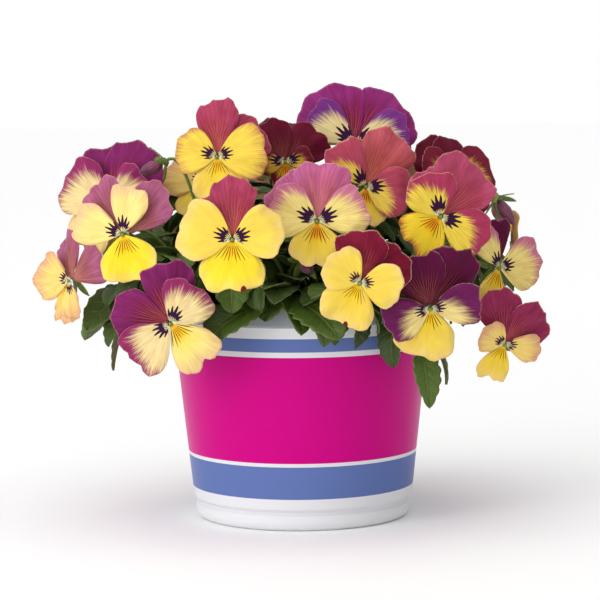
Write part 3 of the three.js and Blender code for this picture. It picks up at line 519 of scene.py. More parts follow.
class Value:
    """A value in a tree of nodes, which takes part in sums."""

    def __init__(self, nodes, socket):
        self.nodes, self.socket = nodes, socket

    def __add__(self, other):
        return self.nodes.math("ADD", self, other)

    def __radd__(self, other):
        return self.nodes.math("ADD", other, self)

    def __sub__(self, other):
        return self.nodes.math("SUBTRACT", self, other)

    def __rsub__(self, other):
        return self.nodes.math("SUBTRACT", other, self)

    def __mul__(self, other):
        return self.nodes.math("MULTIPLY", self, other)

    def __truediv__(self, other):
        return self.nodes.math("DIVIDE", self, other)

    def __gt__(self, other):
        return self.nodes.math("GREATER_THAN", self, other)

    def __lt__(self, other):
        return self.nodes.math("LESS_THAN", self, other)

    def __abs__(self):
        return self.nodes.math("ABSOLUTE", self)

    def mapped(self, start, end, low, high, kind="LINEAR"):
        """What runs from low to high while this runs from start to end."""
        ends = {"Value": self, "From Min": start, "From Max": end, "To Min": low, "To Max": high}
        return self.nodes.result(0, "MapRange", ends, interpolation_type=kind)

    def smooth(self, low, high):
        """0 up to low, 1 from high on, and smooth between them."""
        return self.mapped(low, high, 0, 1, "SMOOTHSTEP")

    def scaled(self, low, high):
        """The same from low to high, where this is from 0 to 1."""
        return self.mapped(0, 1, low, high)

    def wave(self, power):
        """Ridges of a cosine, made narrow by a power."""
        ridge = self.nodes.math("MULTIPLY_ADD", self.nodes.math("COSINE", self), 0.5, 0.5)
        return self.nodes.math("POWER", ridge, power)

    def mixed(self, share, other):
        """This colour with a share of another."""
        return self.nodes.mix(share, self, other)

    def tinted(self, share, tint):
        """This colour multiplied by a tint, as far as the share says."""
        return self.nodes.mix(share, self, tint, "MULTIPLY")


class Nodes:
    """A tree of shader nodes, with short names for those that it is made of."""

    def __init__(self, tree):
        self.tree = tree

    def put(self, value, socket):
        if isinstance(value, Value):
            self.tree.links.new(value.socket, socket)
        elif socket.type == "RGBA":
            socket.default_value = (*value[:3], 1)
        else:
            socket.default_value = value

    def new(self, kind, values, **settings):
        node = self.tree.nodes.new("ShaderNode" + kind)
        for key, setting in settings.items():
            setattr(node, key, setting)
        for key, value in values.items():
            self.put(value, node.inputs[key])
        return node

    def result(self, output, kind, values, **settings):
        return Value(self, self.new(kind, values, **settings).outputs[output])

    def math(self, operation, *values):
        return self.result(0, "Math", dict(enumerate(values)), operation=operation)

    def mix(self, share, first, second, blend="MIX"):
        return self.result(2, "Mix", {0: share, 6: first, 7: second}, data_type="RGBA", blend_type=blend)

    def kept(self, name):
        """A vector kept at the points of the mesh."""
        return self.result("Vector", "Attribute", {}, attribute_name=name)

    def parts(self, vector):
        """The three numbers of a vector, which may be given as the name of a kept one."""
        vector = self.kept(vector) if isinstance(vector, str) else vector
        return [Value(self, output) for output in self.new("SeparateXYZ", {0: vector}).outputs]

    def place(self, kind="Object"):
        return self.result(kind, "TexCoord", {})

    def noise(self, place, scale, detail=2.0, roughness=0.5):
        """Noise at a place, which may be given as three numbers."""
        if isinstance(place, tuple):
            place = self.result(0, "CombineXYZ", dict(enumerate(place)))
        values = {"Vector": place, "Scale": scale, "Detail": detail, "Roughness": roughness}
        return self.result("Fac", "TexNoise", values)


class Surface(Nodes):
    """A procedural material."""

    def __init__(self, name, **fixed):
        self.material = bpy.data.materials.new(name)
        self.material.use_nodes = True
        super().__init__(self.material.node_tree)
        self.shader = self.tree.nodes["Principled BSDF"]
        for key, value in fixed.items():
            self.shader.inputs[key.replace("_", " ").title().replace("Ior", "IOR")].default_value = value

    def bump(self, height, strength, distance):
        values = {"Height": height, "Strength": strength, "Distance": distance}
        self.put(self.result(0, "Bump", values), self.shader.inputs["Normal"])

    def finish(self, base, roughness=None):
        self.put(base, self.shader.inputs["Base Color"])
        if roughness is not None:
            self.put(roughness, self.shader.inputs["Roughness"])
        return self.material


def petal_material(kind):
    """A petal of one kind, upper, side or lower. Its colours and marks are values at its points."""
    surface = Surface(f"pansy_{kind}_petal", roughness=0.6, subsurface_weight=0.1, subsurface_scale=0.002,
                      specular_ior_level=0.1)
    along, share, front = surface.parts("spot")
    distance, angle, seed = surface.parts("polar")
    start, full, tilt = surface.parts("zone")
    blotch, veins, rim = surface.parts("marks")
    aside, notch_spot, _ = surface.parts("extras")
    tone = surface.noise((angle * 2.4, distance * 0.06, seed), 1.0)
    drift = surface.noise((angle * 6, distance * 0.1, seed), 1.0)
    flecks = surface.noise((angle * 30, distance * 0.2, seed), 1.0)
    fine = (angle * 140 + flecks * 6).wave(1.5)
    middle = (angle * 67 + drift * 9).wave(2.4)
    broad = (angle * 25 + drift * 7 + seed).wave(2.4)
    lines = surface.math("MAXIMUM", middle * 0.75, broad * 0.7)
    lines = lines * 0.65 + fine * 0.4
    feather = (lines + flecks * 1.2 - 0.9) * 0.17
    patches = (tone - 0.5) * 0.9 * veins
    reach = along + tilt * share + feather + patches
    base = surface.mix(reach.smooth(start, full), surface.kept("ground"), surface.kept("edge"))
    shade = drift.smooth(0.35, 0.7) * surface.math("MINIMUM", veins + 0.2, 0.8)
    base = base.tinted(shade, (0.78, 0.66, 0.7))
    line_share = lines * veins * along.smooth(0.0, 0.25)
    base = base.tinted(line_share, (0.42, 0.26, 0.36))
    flank = abs(share).smooth(0.95, 1.0) * along.smooth(0.4, 0.8)
    border = surface.math("MAXIMUM", along.smooth(0.972, 1.0), flank)
    base = base.mixed(rim * border * flecks.smooth(0.25, 0.6), colour("#e9c1a2"))
    off_axis = abs(angle)
    if kind == "upper":
        rays = (angle * 67 + drift * 9 + math.pi).wave(3.0)
        streaks = rays * veins * along.smooth(0.75, 0.2)
        base = base.mixed(streaks * 0.75, colour("#e3a08c"))
        # Darker and redder towards the base: partly the petal's own flush, partly painted shade of its folds
        # and of the petals over it
        depth = along.smooth(0.1, 0.45) * reach.smooth(0.9, 0.5) * 0.55
        base = base.tinted(depth, (0.72, 0.56, 0.62))
    if kind == "lower":
        glow = distance.smooth(22.0, 8.0) * off_axis.smooth(0.75, 0.3)
        base = base.tinted(glow * 0.8, (1.0, 0.96, 0.25))
        heart = (distance - flecks * 2).smooth(11.0, 6.0) * off_axis.smooth(0.62, 0.36)
        gold = surface.mix(blotch.smooth(0.7, 1.0), colour("#fbc81c"), colour("#ee9410"))
        base = base.mixed(heart * 0.95, gold)
        ridge = (angle * 34 + flecks * 1.4 + seed).wave(1.0)
        jitter = surface.noise((angle * 12, 0.0, seed), 1.0)
        length = 6.0 + jitter * 7 + off_axis.smooth(0.0, 0.4) * 3.5
        gone = ((distance - 3.5) / (length - 3.5)).scaled(0.66, 1.0)
        span = 1.0 - off_axis.smooth(0.66, 0.85)
        strength = (ridge - gone).smooth(-0.06, 0.06) * distance.smooth(2.6, 5.0)
        strength = strength * (distance - length).smooth(0.5, -0.5) * span
        base = base.mixed(strength * blotch.smooth(0.0, 0.6), colour("#3f1c12"))
        beside = abs(angle - notch_spot) * 16.0
        above = (0.99 - along) * 11.0
        spot = (beside * beside + above * above).smooth(1.0, 0.8)
        base = base.mixed(spot, colour("#761622"))
    if kind == "side":
        throat = 1.0 - distance.smooth(1.8, 3.6)
        base = base.mixed(throat, colour("#f3efd2"))
        turned = angle + aside
        bow = (turned * 2.0).wave(2.0)
        ridge = (turned * 23 + flecks * 1.8).wave(1.0)
        end = 4.6 + bow * blotch * 6.8 + flecks * 1.4
        core = 4.3 + bow * blotch * blotch * 3.6
        outer = (distance - core) / (end - core)
        inner = (4.2 - distance) * 0.5
        gone = surface.math("MAXIMUM", outer, inner)
        patch = (ridge - gone).smooth(-0.12, 0.08) * bow.smooth(0.18, 0.4)
        base = base.mixed(patch * blotch.smooth(0.0, 0.5), colour("#350e38"))
    green = 1.0 - distance.smooth(0.8, 2.4)
    base = base.mixed(green * 0.8, colour("#7d8a2c"))
    behind = front.smooth(0.2, -0.2)
    base = base.mixed(behind, base.mixed(0.4, colour("#f2d8b0")))
    grain = surface.noise(surface.place(), 2600.0, 2.0)
    surface.bump(lines * -0.6 + grain * 0.35, 0.35, 0.0004)
    return surface.finish(base, drift.scaled(0.5, 0.68))


def leaf_material():
    """A leaf with a pale midrib and side veins that run forward to its teeth."""
    surface = Surface("pansy_leaf", subsurface_weight=0.06, subsurface_scale=0.002, specular_ior_level=0.4)
    along, side, front = surface.parts("spot")
    seed, _, _ = surface.parts("polar")
    out = abs(side)
    drift = surface.noise((along * 5, side * 2, seed * 40), 1.0)
    phase = (along - out * VEIN_SLANT + drift * 0.05) * (2 * math.pi * LEAF_VEINS)
    ribs = phase.wave(26.0) * out.smooth(1.0, 0.3)
    midrib = out.smooth(0.085, 0.03)
    veins = surface.math("MAXIMUM", midrib, ribs * 0.7)
    mesh = surface.noise(surface.place(), 900.0, 3.0, 0.6)
    deep = surface.mix(seed, colour("#2e4214"), colour("#5f782a"))
    base = surface.mix(mesh.smooth(0.3, 0.8), deep.tinted(1.0, (0.66, 0.72, 0.5)), deep)
    base = base.mixed(veins * 0.24, colour("#8ea04a"))
    base = base.mixed(out.smooth(0.93, 1.0) * 0.3, colour("#8ea04a"))
    behind = front.smooth(0.2, -0.2)
    base = base.mixed(behind, base.mixed(0.5, colour("#7c9460")))
    bulge = veins * -0.8 + mesh * 0.5
    surface.bump(bulge, 0.6, 0.0008)
    return surface.finish(base, mesh.scaled(0.38, 0.56))


def stem_material():
    """Stems, flower stalks and sepals: fresh green, darker and browner low down."""
    surface = Surface("pansy_stem", subsurface_weight=0.05, subsurface_scale=0.002, specular_ior_level=0.4)
    low, _, _ = surface.parts("spot")
    streaks = surface.noise(surface.place(), 420.0, 3.0)
    base = surface.mix(low, colour("#7d9440"), colour("#4e6a2c"))
    base = base.tinted(streaks.smooth(0.35, 0.75), (0.72, 0.7, 0.6))
    surface.bump(streaks, 0.3, 0.0004)
    return surface.finish(base, streaks.scaled(0.42, 0.6))


def pot_material():
    """White glossy plastic with plain printed bands round the outside of the wall; the lip is grey painted
    shade.
    """
    surface = Surface("pot_plastic", coat_weight=0.02, coat_roughness=0.2, specular_ior_level=0.06)
    place = surface.place()
    x, y, z = surface.parts(place)
    radius = surface.math("SQRT", x * x + y * y)
    ramp = surface.new("ValToRGB", {0: z * (1 / (POT_HEIGHT * MM))})
    ramp.color_ramp.interpolation = "CONSTANT"
    stops = ramp.color_ramp.elements
    for i, (bottom, name) in enumerate(BANDS):
        stop = stops[i] if i < 1 else stops.new(bottom / POT_HEIGHT)
        stop.position = bottom / POT_HEIGHT
        stop.color = (*colour(BAND_COLOURS[name]), 1)
    stops[-1].color = (*colour(BAND_COLOURS["white"]), 1)
    wall = radius - z * WALL_TAPER - (WALL_RADIUS_AT_GROUND - WALL_THICKNESS / 2) * MM
    printed = (wall > 0.0) * (z < LIP_BOTTOM * MM)
    # The lip is coloured grey: painted shade of the overhanging leaves, not a plastic of its own
    lip = z > LIP_BOTTOM * MM
    plain = surface.mix(lip, colour(BAND_COLOURS["white"]), colour(LIP_PAINTED_SHADE_COLOUR))
    base = plain.mixed(printed, Value(surface, ramp.outputs[0]))
    mottle = surface.noise(place, 18.0, 3.0)
    base = base.tinted(mottle * 0.12, (0.86, 0.86, 0.88))
    dust = surface.noise(place, 240.0, 4.0, 0.65).smooth(0.62, 0.8)
    base = base.mixed(dust * 0.05, colour("#a39a90"))
    grain = surface.noise(place, 1600.0, 2.0)
    surface.bump(mottle * 3.0 + grain * 0.08, 0.12, 0.0006)
    return surface.finish(base, mottle.scaled(0.24, 0.4))


def soil_material():
    """Damp potting soil: dark crumbs, lighter in places."""
    surface = Surface("potting_soil", specular_ior_level=0.2)
    place = surface.place()
    crumbs = surface.noise(place, 380.0, 6.0, 0.7)
    patches = surface.noise(place, 60.0, 3.0)
    base = surface.mix(crumbs.smooth(0.3, 0.75), colour("#150d08"), colour("#4a3222"))
    base = base.mixed(patches * 0.5, colour("#2a1c12"))
    surface.bump(crumbs, 0.9, 0.002)
    return surface.finish(base, crumbs.scaled(0.8, 1.0))


def bark_material():
    surface = Surface("bark_chip", specular_ior_level=0.2)
    place = surface.place()
    grain = surface.noise(place, 700.0, 4.0, 0.6)
    base = surface.mix(grain.smooth(0.3, 0.8), colour("#2c1a0f"), colour("#7a563a"))
    surface.bump(grain, 0.7, 0.001)
    return surface.finish(base, grain.scaled(0.75, 0.95))


def knob_material():
    """The knob in a flower's throat: green, yellower in places."""
    surface = Surface("throat_knob", roughness=0.5, specular_ior_level=0.3)
    grain = surface.noise(surface.place(), 1800.0, 2.0)
    return surface.finish(surface.mix(grain, colour("#6c7c2a"), colour("#a3a94a")))


def hair_material():
    surface = Surface("throat_hair", subsurface_weight=0.2, subsurface_scale=0.001, roughness=0.5)
    grain = surface.noise(surface.place(), 1500.0, 2.0)
    return surface.finish(surface.mix(grain, colour("#f7f4dc"), colour("#d9dba0")))


def bud_material():
    """Furled petals: plum with fine darker lines that wind up the bud."""
    surface = Surface("pansy_bud", subsurface_weight=0.08, subsurface_scale=0.002, sheen_weight=0.15)
    height, turn, fold = surface.parts("spot")
    drift = surface.noise(surface.place(), 300.0, 2.0)
    lines = (turn * 14 + height * 9 + drift * 3).wave(4.0)
    base = surface.mix(height.smooth(0.2, 0.9), colour("#8a3a5e"), colour("#5c1340"))
    base = base.mixed(fold * 0.6, colour("#3c0a2c"))
    base = base.mixed(lines * 0.5, colour("#b0647c"))
    surface.bump(lines, 0.3, 0.0004)
    return surface.finish(base, drift.scaled(0.48, 0.65))


def floor_material():
    """Matt white, whiter away from the part so that it meets the sky without a line."""
    surface = Surface("studio_floor", specular_ior_level=0.15)
    place = surface.place()
    grain = surface.noise(place, 40.0, 3.0)
    x, y, _ = surface.parts(place)
    away = surface.math("SQRT", x * x + y * y)
    near = surface.mix(grain, (0.978, 0.98, 0.979), (0.964, 0.966, 0.966))
    base = near.mixed(away.smooth(*FLOOR_WHITENS), (0.999, 0.999, 0.999))
    return surface.finish(base, grain.scaled(0.6, 0.7))


# Flowers

def petal_of(bloom, name):
    """A petal of a flower, with what is its own."""
    petal = dict(PETALS[name])
    number = list(PETALS).index(name)
    if "petals" in bloom:
        petal["way"], petal["reach"], petal["spread"] = bloom["petals"][number]
    if name == "upper_" + bloom.get("over", "right"):
        petal["seat"] += UPPER_OVERLAP[0]
        petal["lean"] += UPPER_OVERLAP[1]
    petal["seed"] = bloom["number"] * 8 + number
    return petal


def ripple(height, count, place, seed, key):
    """A sine wave that begins where a seed says."""
    return height * np.sin(count * place + 6.3 * chance(seed, key))


def petal_reach(petal, share):
    """How far a petal's rim is from the throat, at a share of its spread from -1 to 1."""
    seed = petal["seed"]
    body = (1 - np.abs(share) ** 4) ** 0.45
    slow = ripple(0.03, 6, share, seed, 1)
    fast = ripple(0.022, 14, share, seed, 2)
    nicks = ripple(0.007, 31, share, seed, 11)
    notch = petal["notch"] * np.exp(-60 * share**2)
    return petal["reach"] * body * (1 + slow + fast + nicks - notch)


def face_wave(seed, distance, azimuth):
    """The waves of the whole face: the same for overlapping petals, so that they don't cross."""
    broad = ripple(1.5, 2, azimuth, seed, 3)
    fine = ripple(1.1, 5, azimuth, seed, 4)
    ruffle = ripple(0.55, 11, azimuth, seed, 12) * (distance / WAVE_RADIUS) ** 2
    pleats = ripple(0.16, 37, azimuth, seed, 13)
    return (broad + fine + ruffle + pleats) * (distance / WAVE_RADIUS) ** 2


def rim_curl(petal, along, share):
    """How a petal's free rim bends back, in some stretches more than in others, and ripples."""
    seed = petal["seed"]
    stretch = 0.5 + ripple(0.5, 2.6, share, seed, 14)
    frill = ripple(0.35, 19, share, seed, 15)
    return smooth(0.72, 1.0, along) * (frill - petal["curl"] * stretch * (0.5 + chance(seed, 16)))


def add_petal(shape, bloom, name, look, material):
    """A petal: a waved sheet with a channel down its middle, whose rim is thin and curls."""
    petal = petal_of(bloom, name)
    along = np.linspace(0.05, 1, PETAL_ROWS)[:, None]
    share = PETAL_EDGE * np.sin(np.linspace(-np.pi / 2, np.pi / 2, PETAL_COLUMNS))[None, :]
    distance = along * petal_reach(petal, share)
    azimuth = np.radians(petal["way"] - petal["spread"] * share)
    lean = distance * math.tan(math.radians(petal["lean"]))
    w = petal["seat"] + lean + face_wave(bloom["number"], distance, azimuth)
    w = w - 0.35 * np.exp(-(share / 0.12) ** 2) * smooth(0.1, 0.5, along) * (1 - smooth(0.7, 1.0, along))
    w = w + rim_curl(petal, along, share)
    half = 0.5 * PETAL_THICKNESS * (1 - 0.75 * smooth(0.8, 1.0, np.maximum(along, np.abs(share))))
    u, v = bloom["size"] * distance * np.cos(azimuth), bloom["size"] * distance * np.sin(azimuth)
    angle = np.radians(petal["spread"] * share)
    polar = np.broadcast_arrays(distance, angle, 10 * chance(petal["seed"], 5))
    polar = np.stack(polar, axis=-1).reshape(-1, 3)
    upper_side = {"side_left": 1, "side_right": -1}.get(name, 0)
    ground, edge, (start, full, tilt), veins, rim = look
    shape.add_sheet(
        in_bloom(bloom, u, v, w + half), in_bloom(bloom, u, v, w - half), material, flipped=True,
        spot=sheet_spots(along, share), polar=np.concatenate([polar, polar]),
        ground=colour(ground), edge=colour(edge), zone=(start, full, tilt * upper_side),
        marks=(bloom["blotch"], veins, rim),
        extras=(-0.16 * upper_side, math.radians(bloom.get("notch_spot", 180)), 0))


def add_throat(shape, bloom, knob, hair):
    """The green knob in a flower's throat, and a line of hairs down each side of it."""
    profile = rounded([(0, 0.2), (1.0, 0.4), (0.9, 1.5), (0.3, 2.0), (0, 2.0)], 0.5, 3)
    points, faces = lathe(profile, 12)
    points = in_bloom(bloom, points[:, 0], points[:, 1] - 0.3, points[:, 2])
    shape.add(points, [face[::-1] for face in faces], knob)
    steps = np.linspace(0, 1, 3)
    for side in (-1, 1):
        for i in range(HAIRS):
            draws = [chance(bloom["number"], i, key + side) for key in (21, 31, 41)]
            down = (i + draws[0]) / HAIRS
            root = np.array([side * (0.7 + 3.2 * down), 1.6 - 3.0 * down]) + 0.5 * (draws[1] - 0.5)
            way = np.array([side * (0.3 + 0.5 * draws[2]), 0.9]) * (0.7 + 0.6 * draws[1])
            height = 1.1 + 1.3 * steps - 0.5 * steps**2
            line = in_bloom(bloom, root[0] + way[0] * steps, root[1] + way[1] * steps, height)
            shape.add(*tube(line, [0.15, 0.13, 0.05], 3), hair)


def make_flower(bloom, materials):
    """A flower's two pieces: its upper petals, and its face with the throat."""
    for part, kinds, names in (
            ("upper", ["upper"], ["upper_left", "upper_right"]),
            ("face", ["lower", "side"], ["lower", "side_left", "side_right"])):
        shape = Shape()
        for name in names:
            kind = name.split("_")[0]
            add_petal(shape, bloom, name, LOOKS[bloom[kind]], kinds.index(kind))
        slots = [materials[kind] for kind in kinds]
        if part == "face":
            add_throat(shape, bloom, 2, 3)
            slots += [materials["knob"], materials["hair"]]
        node = f"bloom_{bloom['number'] + 1:02d}_{part}"
        shape.mesh(node + "_petals", slots, slot=slot_of(node), replaced=[node])


# Plants

def crown_of(plant):
    azimuth = FIRST_WEDGE + WEDGE * (plant + 0.5)
    return CROWN_DISTANCE * cosine(azimuth), CROWN_DISTANCE * sine(azimuth)


def plant_of(at):
    azimuth = math.degrees(math.atan2(at[1], at[0]))
    return int(((azimuth - FIRST_WEDGE + 720) % 360) // WEDGE)


def stem_curve(plant, stem):
    """The curve of one leafy stem, from its plant's crown out over the lip."""
    x, y = crown_of(plant)
    azimuth = FIRST_WEDGE + WEDGE * (plant + 0.5) + stem["turn"]
    rises = stem["rise"] + PLANT_LIFTS[plant]
    flat = stem["reach"] * cosine(rises)
    end = np.array([flat * cosine(azimuth), flat * sine(azimuth), CROWN_TOP + stem["reach"] * sine(rises)])
    start = np.array([x, y, CROWN_TOP - 1])
    lift = np.array([0, 0, stem["arch"]])
    return Curve(start, start + 0.3 * (end - start) + lift, start + 0.72 * (end - start) + lift, end)


def stalk_curve(start, bloom):
    """The curve of a stalk from a place on a stem to the back of a flower, which it meets in a hook."""
    end = in_bloom(bloom, 0.0, 0.0, bloom["back"])
    height = np.linalg.norm(end - start)
    upright = np.array([0, 0, height])
    share, lift = STALK_RISE
    rise = start + share * (end - start) + lift * upright
    hook = end - bloom.get("hook", STALK_HOOK[0]) * height * bloom["frame"][2] + STALK_HOOK[1] * upright
    return Curve(start, rise, hook, end)


def are_free(points, plant, blooms):
    """Whether all the points are clear of the pot, the soil, the flowers and the next plants, by a margin."""
    radius = np.hypot(points[:, 0], points[:, 1])
    z = points[:, 2]
    inwards, outwards = CLEAR_OF_LIP
    if np.any((z < SOIL_TOP + CLEAR_OF_SOIL) & (radius < wall_radius(z) + CLEAR_OF_WALL)):
        return False
    at_lip = (radius > LIP_RADIUS - inwards) & (radius < LIP_RADIUS + outwards)
    if np.any((z < POT_HEIGHT + CLEAR_OF_SOIL) & at_lip):
        return False
    for edge in (0, 1):
        azimuth = FIRST_WEDGE + WEDGE * (plant + edge)
        inside = (points[:, 1] * cosine(azimuth) - points[:, 0] * sine(azimuth)) * (-1 if edge else 1)
        if np.any(inside < CLEAR_OF_WEDGE):
            return False
    for bloom in blooms:
        offset = points - np.array(bloom["at"])
        w = offset @ bloom["frame"][2]
        distance = np.sqrt(np.maximum(0, (offset**2).sum(axis=1) - w * w))
        slope = np.where(offset @ bloom["frame"][1] < -0.3 * distance, *PETAL_ROOM["slopes"])
        beside = distance < PETAL_ROOM["radius"] * bloom["size"] + PETAL_ROOM["margin"]
        in_petals = beside & (w < PETAL_ROOM["front"]) & (w > PETAL_ROOM["back"] - slope * distance)
        beside = distance < THROAT_ROOM["radius"]
        if np.any(in_petals | (beside & (w > THROAT_ROOM["back"]) & (w < THROAT_ROOM["front"]))):
            return False
    return True


def stalks_of(plant, stems, heads, blooms):
    """The stalks of a plant's flowers and buds, each from the nearest place on a stem that keeps it clear."""
    places = [stem.at(i / STEM_STEPS) for stem in stems for i in range(FIRST_STALK_STEP, STEM_STEPS)]
    stalks = []
    for head in heads:
        below = in_bloom(head, 0.0, 0.0, -STALK_BEHIND) + (0, 0, -STALK_BELOW)
        near = sorted(places, key=lambda place: np.linalg.norm(place - below))
        curves = [stalk_curve(start, head) for start in near[:STALK_TRIES]]
        others = [bloom for bloom in blooms if bloom is not head]
        steps = np.arange(1, 13) / 12
        clear = (curve for curve in curves if are_free(curve.points(steps), plant, others))
        stalks.append(next(clear, curves[0]))
    return stalks


def leaf_half_width(leaf, along, teeth, fullness):
    """Half the width of a leaf, at shares of its length."""
    blade = np.clip((along - LEAF_STALK_SHARE) / (1 - LEAF_STALK_SHARE), 0, 1)
    body = np.maximum(0, np.sin(np.pi * blade**LEAF_MIDDLE)) ** fullness
    tooth = 1 - TOOTH_DEPTH * (1 - np.abs(np.sin(np.pi * teeth * blade)))
    return LEAF_STALK_RADIUS * np.where(blade > 0, 1 - blade, 1) + leaf["half_width"] * body * tooth


def leaf_points(leaf, along, side, above, form):
    """Points of a leaf: along its length, across its width from -1 to 1, and above its face."""
    first, bend = math.radians(leaf["rise"]), math.radians(leaf["droop"])
    angle = first - bend * along
    out = leaf["length"] * (math.sin(first) - np.sin(angle)) / bend
    up = leaf["length"] * (np.cos(angle) - math.cos(first)) / bend
    half = leaf_half_width(leaf, along, **form) * side
    lift = above + np.abs(half) * LEAF_FOLD
    ct, st = cosine(leaf["twist"]), sine(leaf["twist"])
    sideways, raised = half * ct - lift * st, half * st + lift * ct
    c, s = cosine(leaf["azimuth"]), sine(leaf["azimuth"])
    ahead = out - raised * np.sin(angle)
    x, y = ahead * c - sideways * s, ahead * s + sideways * c
    return np.stack(np.broadcast_arrays(x, y, up + raised * np.cos(angle)), axis=-1) + leaf["root"]


def marks_of(leaf):
    along, side = np.array(LEAF_TRIAL).T
    return leaf_points(leaf, along, side, 0.0, SOLID_LEAF)


def fits(marks, plant, blooms, earlier, gap):
    """Whether a leaf's marks are clear of everything, and of what grows before it."""
    between = np.linalg.norm(marks[:, None, :] - earlier[None, :, :], axis=-1)
    return bool(np.all(between > gap)) and are_free(marks, plant, blooms)


def shifted(leaf, attempt):
    """The same leaf, turned and lowered a little more at each attempt."""
    smaller = {key: leaf[key] * (1 - LEAF_STEPS[key] * attempt) for key in ("length", "half_width")}
    return dict(
        leaf, **smaller,
        azimuth=leaf["azimuth"] + LEAF_TURNS[attempt],
        rise=leaf["rise"] - LEAF_STEPS["rise"] * (attempt % LEAF_RISES),
        droop=leaf["droop"] + LEAF_STEPS["droop"] * attempt,
    )


def drawn(spans, draws, **rest):
    """A leaf with the measures that draws from 0 to 1 give it."""
    leaf = {key: spans[key][0] + spans[key][1] * draw for key, draw in zip(LEAF_KEYS, draws)}
    return dict(leaf, **rest)


def leaves_at_end(stem, curve):
    """The leaves that a stem would bear at its end."""
    keys = ("rise", "droop", "length", "half_width", "twist")
    heading, _ = curve.heading(1)
    root = curve.at(STEM_END)
    return [dict(zip(keys, rest), root=root, azimuth=heading + turn) for turn, *rest in stem["leaves"]]


def leaves_along(plant, stem_number, stem, curve):
    """The leaves that it would bear before that, by turns left and right of it."""
    leaves = []
    steps = STEM_STEPS - 1 if stem["leaves"] else STEM_STEPS
    for i in range(FIRST_LEAF_STEP, steps + 1):
        draws = [chance(plant, stem_number, i, key) for key in range(7)]
        heading, steep = curve.heading(i / STEM_STEPS)
        side = 1 if i % 2 else -1
        spread = 8 if i == STEM_STEPS else 52 + 18 * draws[1]
        root = curve.at(min(i / STEM_STEPS, STEM_END))
        leaf = drawn(LEAF_SPANS, draws[2:], root=root, azimuth=heading + side * spread)
        leaves.append(dict(leaf, rise=min(STEEPEST_LEAF, 0.6 * steep + leaf["rise"])))
    return leaves


def undergrowth(plant, stems, blooms, earlier):
    """Smaller leaves where there is still room."""
    leaves = []
    for growth in UNDERGROWTH:
        bearing = [curve for curve, stem in zip(stems, STEMS) if abs(stem["turn"]) >= growth["least_turn"]]
        lowest, spans = growth["lowest"], {**SMALL_LEAF_SPANS, **growth}
        for attempt in range(growth["tries"]):
            if len(leaves) == MOST_UNDERGROWTH:
                break
            draws = [chance(plant, attempt, key, growth["spread"]) for key in range(8)]
            stem = bearing[int(draws[0] * len(bearing))]
            share = lowest + (STEM_END - lowest) * draws[1] ** 0.6
            heading, _ = stem.heading(share)
            azimuth = heading + growth["spread"] * (draws[2] - 0.5)
            leaf = drawn(spans, draws[3:], root=stem.at(share), azimuth=azimuth)
            marks = marks_of(leaf)
            is_high = marks[:, 2].min() > LOWEST_UNDERGROWTH
            if is_high and fits(marks, plant, blooms, earlier, UNDERGROWTH_GAP):
                leaves.append(leaf)
                earlier = np.concatenate([earlier, marks])
    return leaves


def leaves_of(plant, stems, stalks, blooms):
    """All the leaves of a plant."""
    steps = np.arange(4, 17) / 16
    earlier = np.concatenate([curve.points(steps) for curve in [*stems, *stalks]])
    wanted = [leaf for stem, curve in zip(STEMS, stems) for leaf in leaves_at_end(stem, curve)]
    for number, (stem, curve) in enumerate(zip(STEMS, stems)):
        wanted += leaves_along(plant, number, stem, curve)
    leaves = []
    for first in wanted:
        tries = (shifted(first, attempt) for attempt in range(len(LEAF_TURNS)))
        leaf = next((one for one in tries if fits(marks_of(one), plant, blooms, earlier, LEAF_GAP)), None)
        if leaf and len(leaves) < MOST_LEAVES:
            leaves.append(leaf)
            earlier = np.concatenate([earlier, marks_of(leaf)])
    return leaves, undergrowth(plant, stems, blooms, earlier)


def add_leaf(shape, leaf, seed, grid, material):
    """A leaf with round teeth, raised between its veins, and waved at its rim."""
    along = np.linspace(0, 1, grid[0])[:, None]
    side = np.linspace(-1, 1, grid[1])[None, :]
    blade = np.clip((along - LEAF_STALK_SHARE) / (1 - LEAF_STALK_SHARE), 0, 1)
    ribs = np.cos(2 * np.pi * LEAF_VEINS * (along - VEIN_SLANT * np.abs(side)))
    bulge = -0.3 * ribs * np.sin(np.pi * np.clip(np.abs(side), 0, 1)) * smooth(0, 0.2, blade)
    wave = 0.7 * np.sin(9 * along + 6.3 * chance(seed, 41) + 1.5 * np.sign(side)) * np.abs(side) ** 2 * blade
    channel = -0.5 * np.exp(-(side / 0.12) ** 2) * smooth(0, 0.1, blade)
    half = 0.5 * LEAF_THICKNESS * (1 - 0.6 * np.abs(side) ** 3)
    middle = bulge + wave + channel
    sides = [leaf_points(leaf, along, side, middle + sign * half, SHOWN_LEAF) for sign in (1, -1)]
    shape.add_sheet(*sides, material, spot=sheet_spots(along, side), polar=(chance(seed, 42), 0, 0))


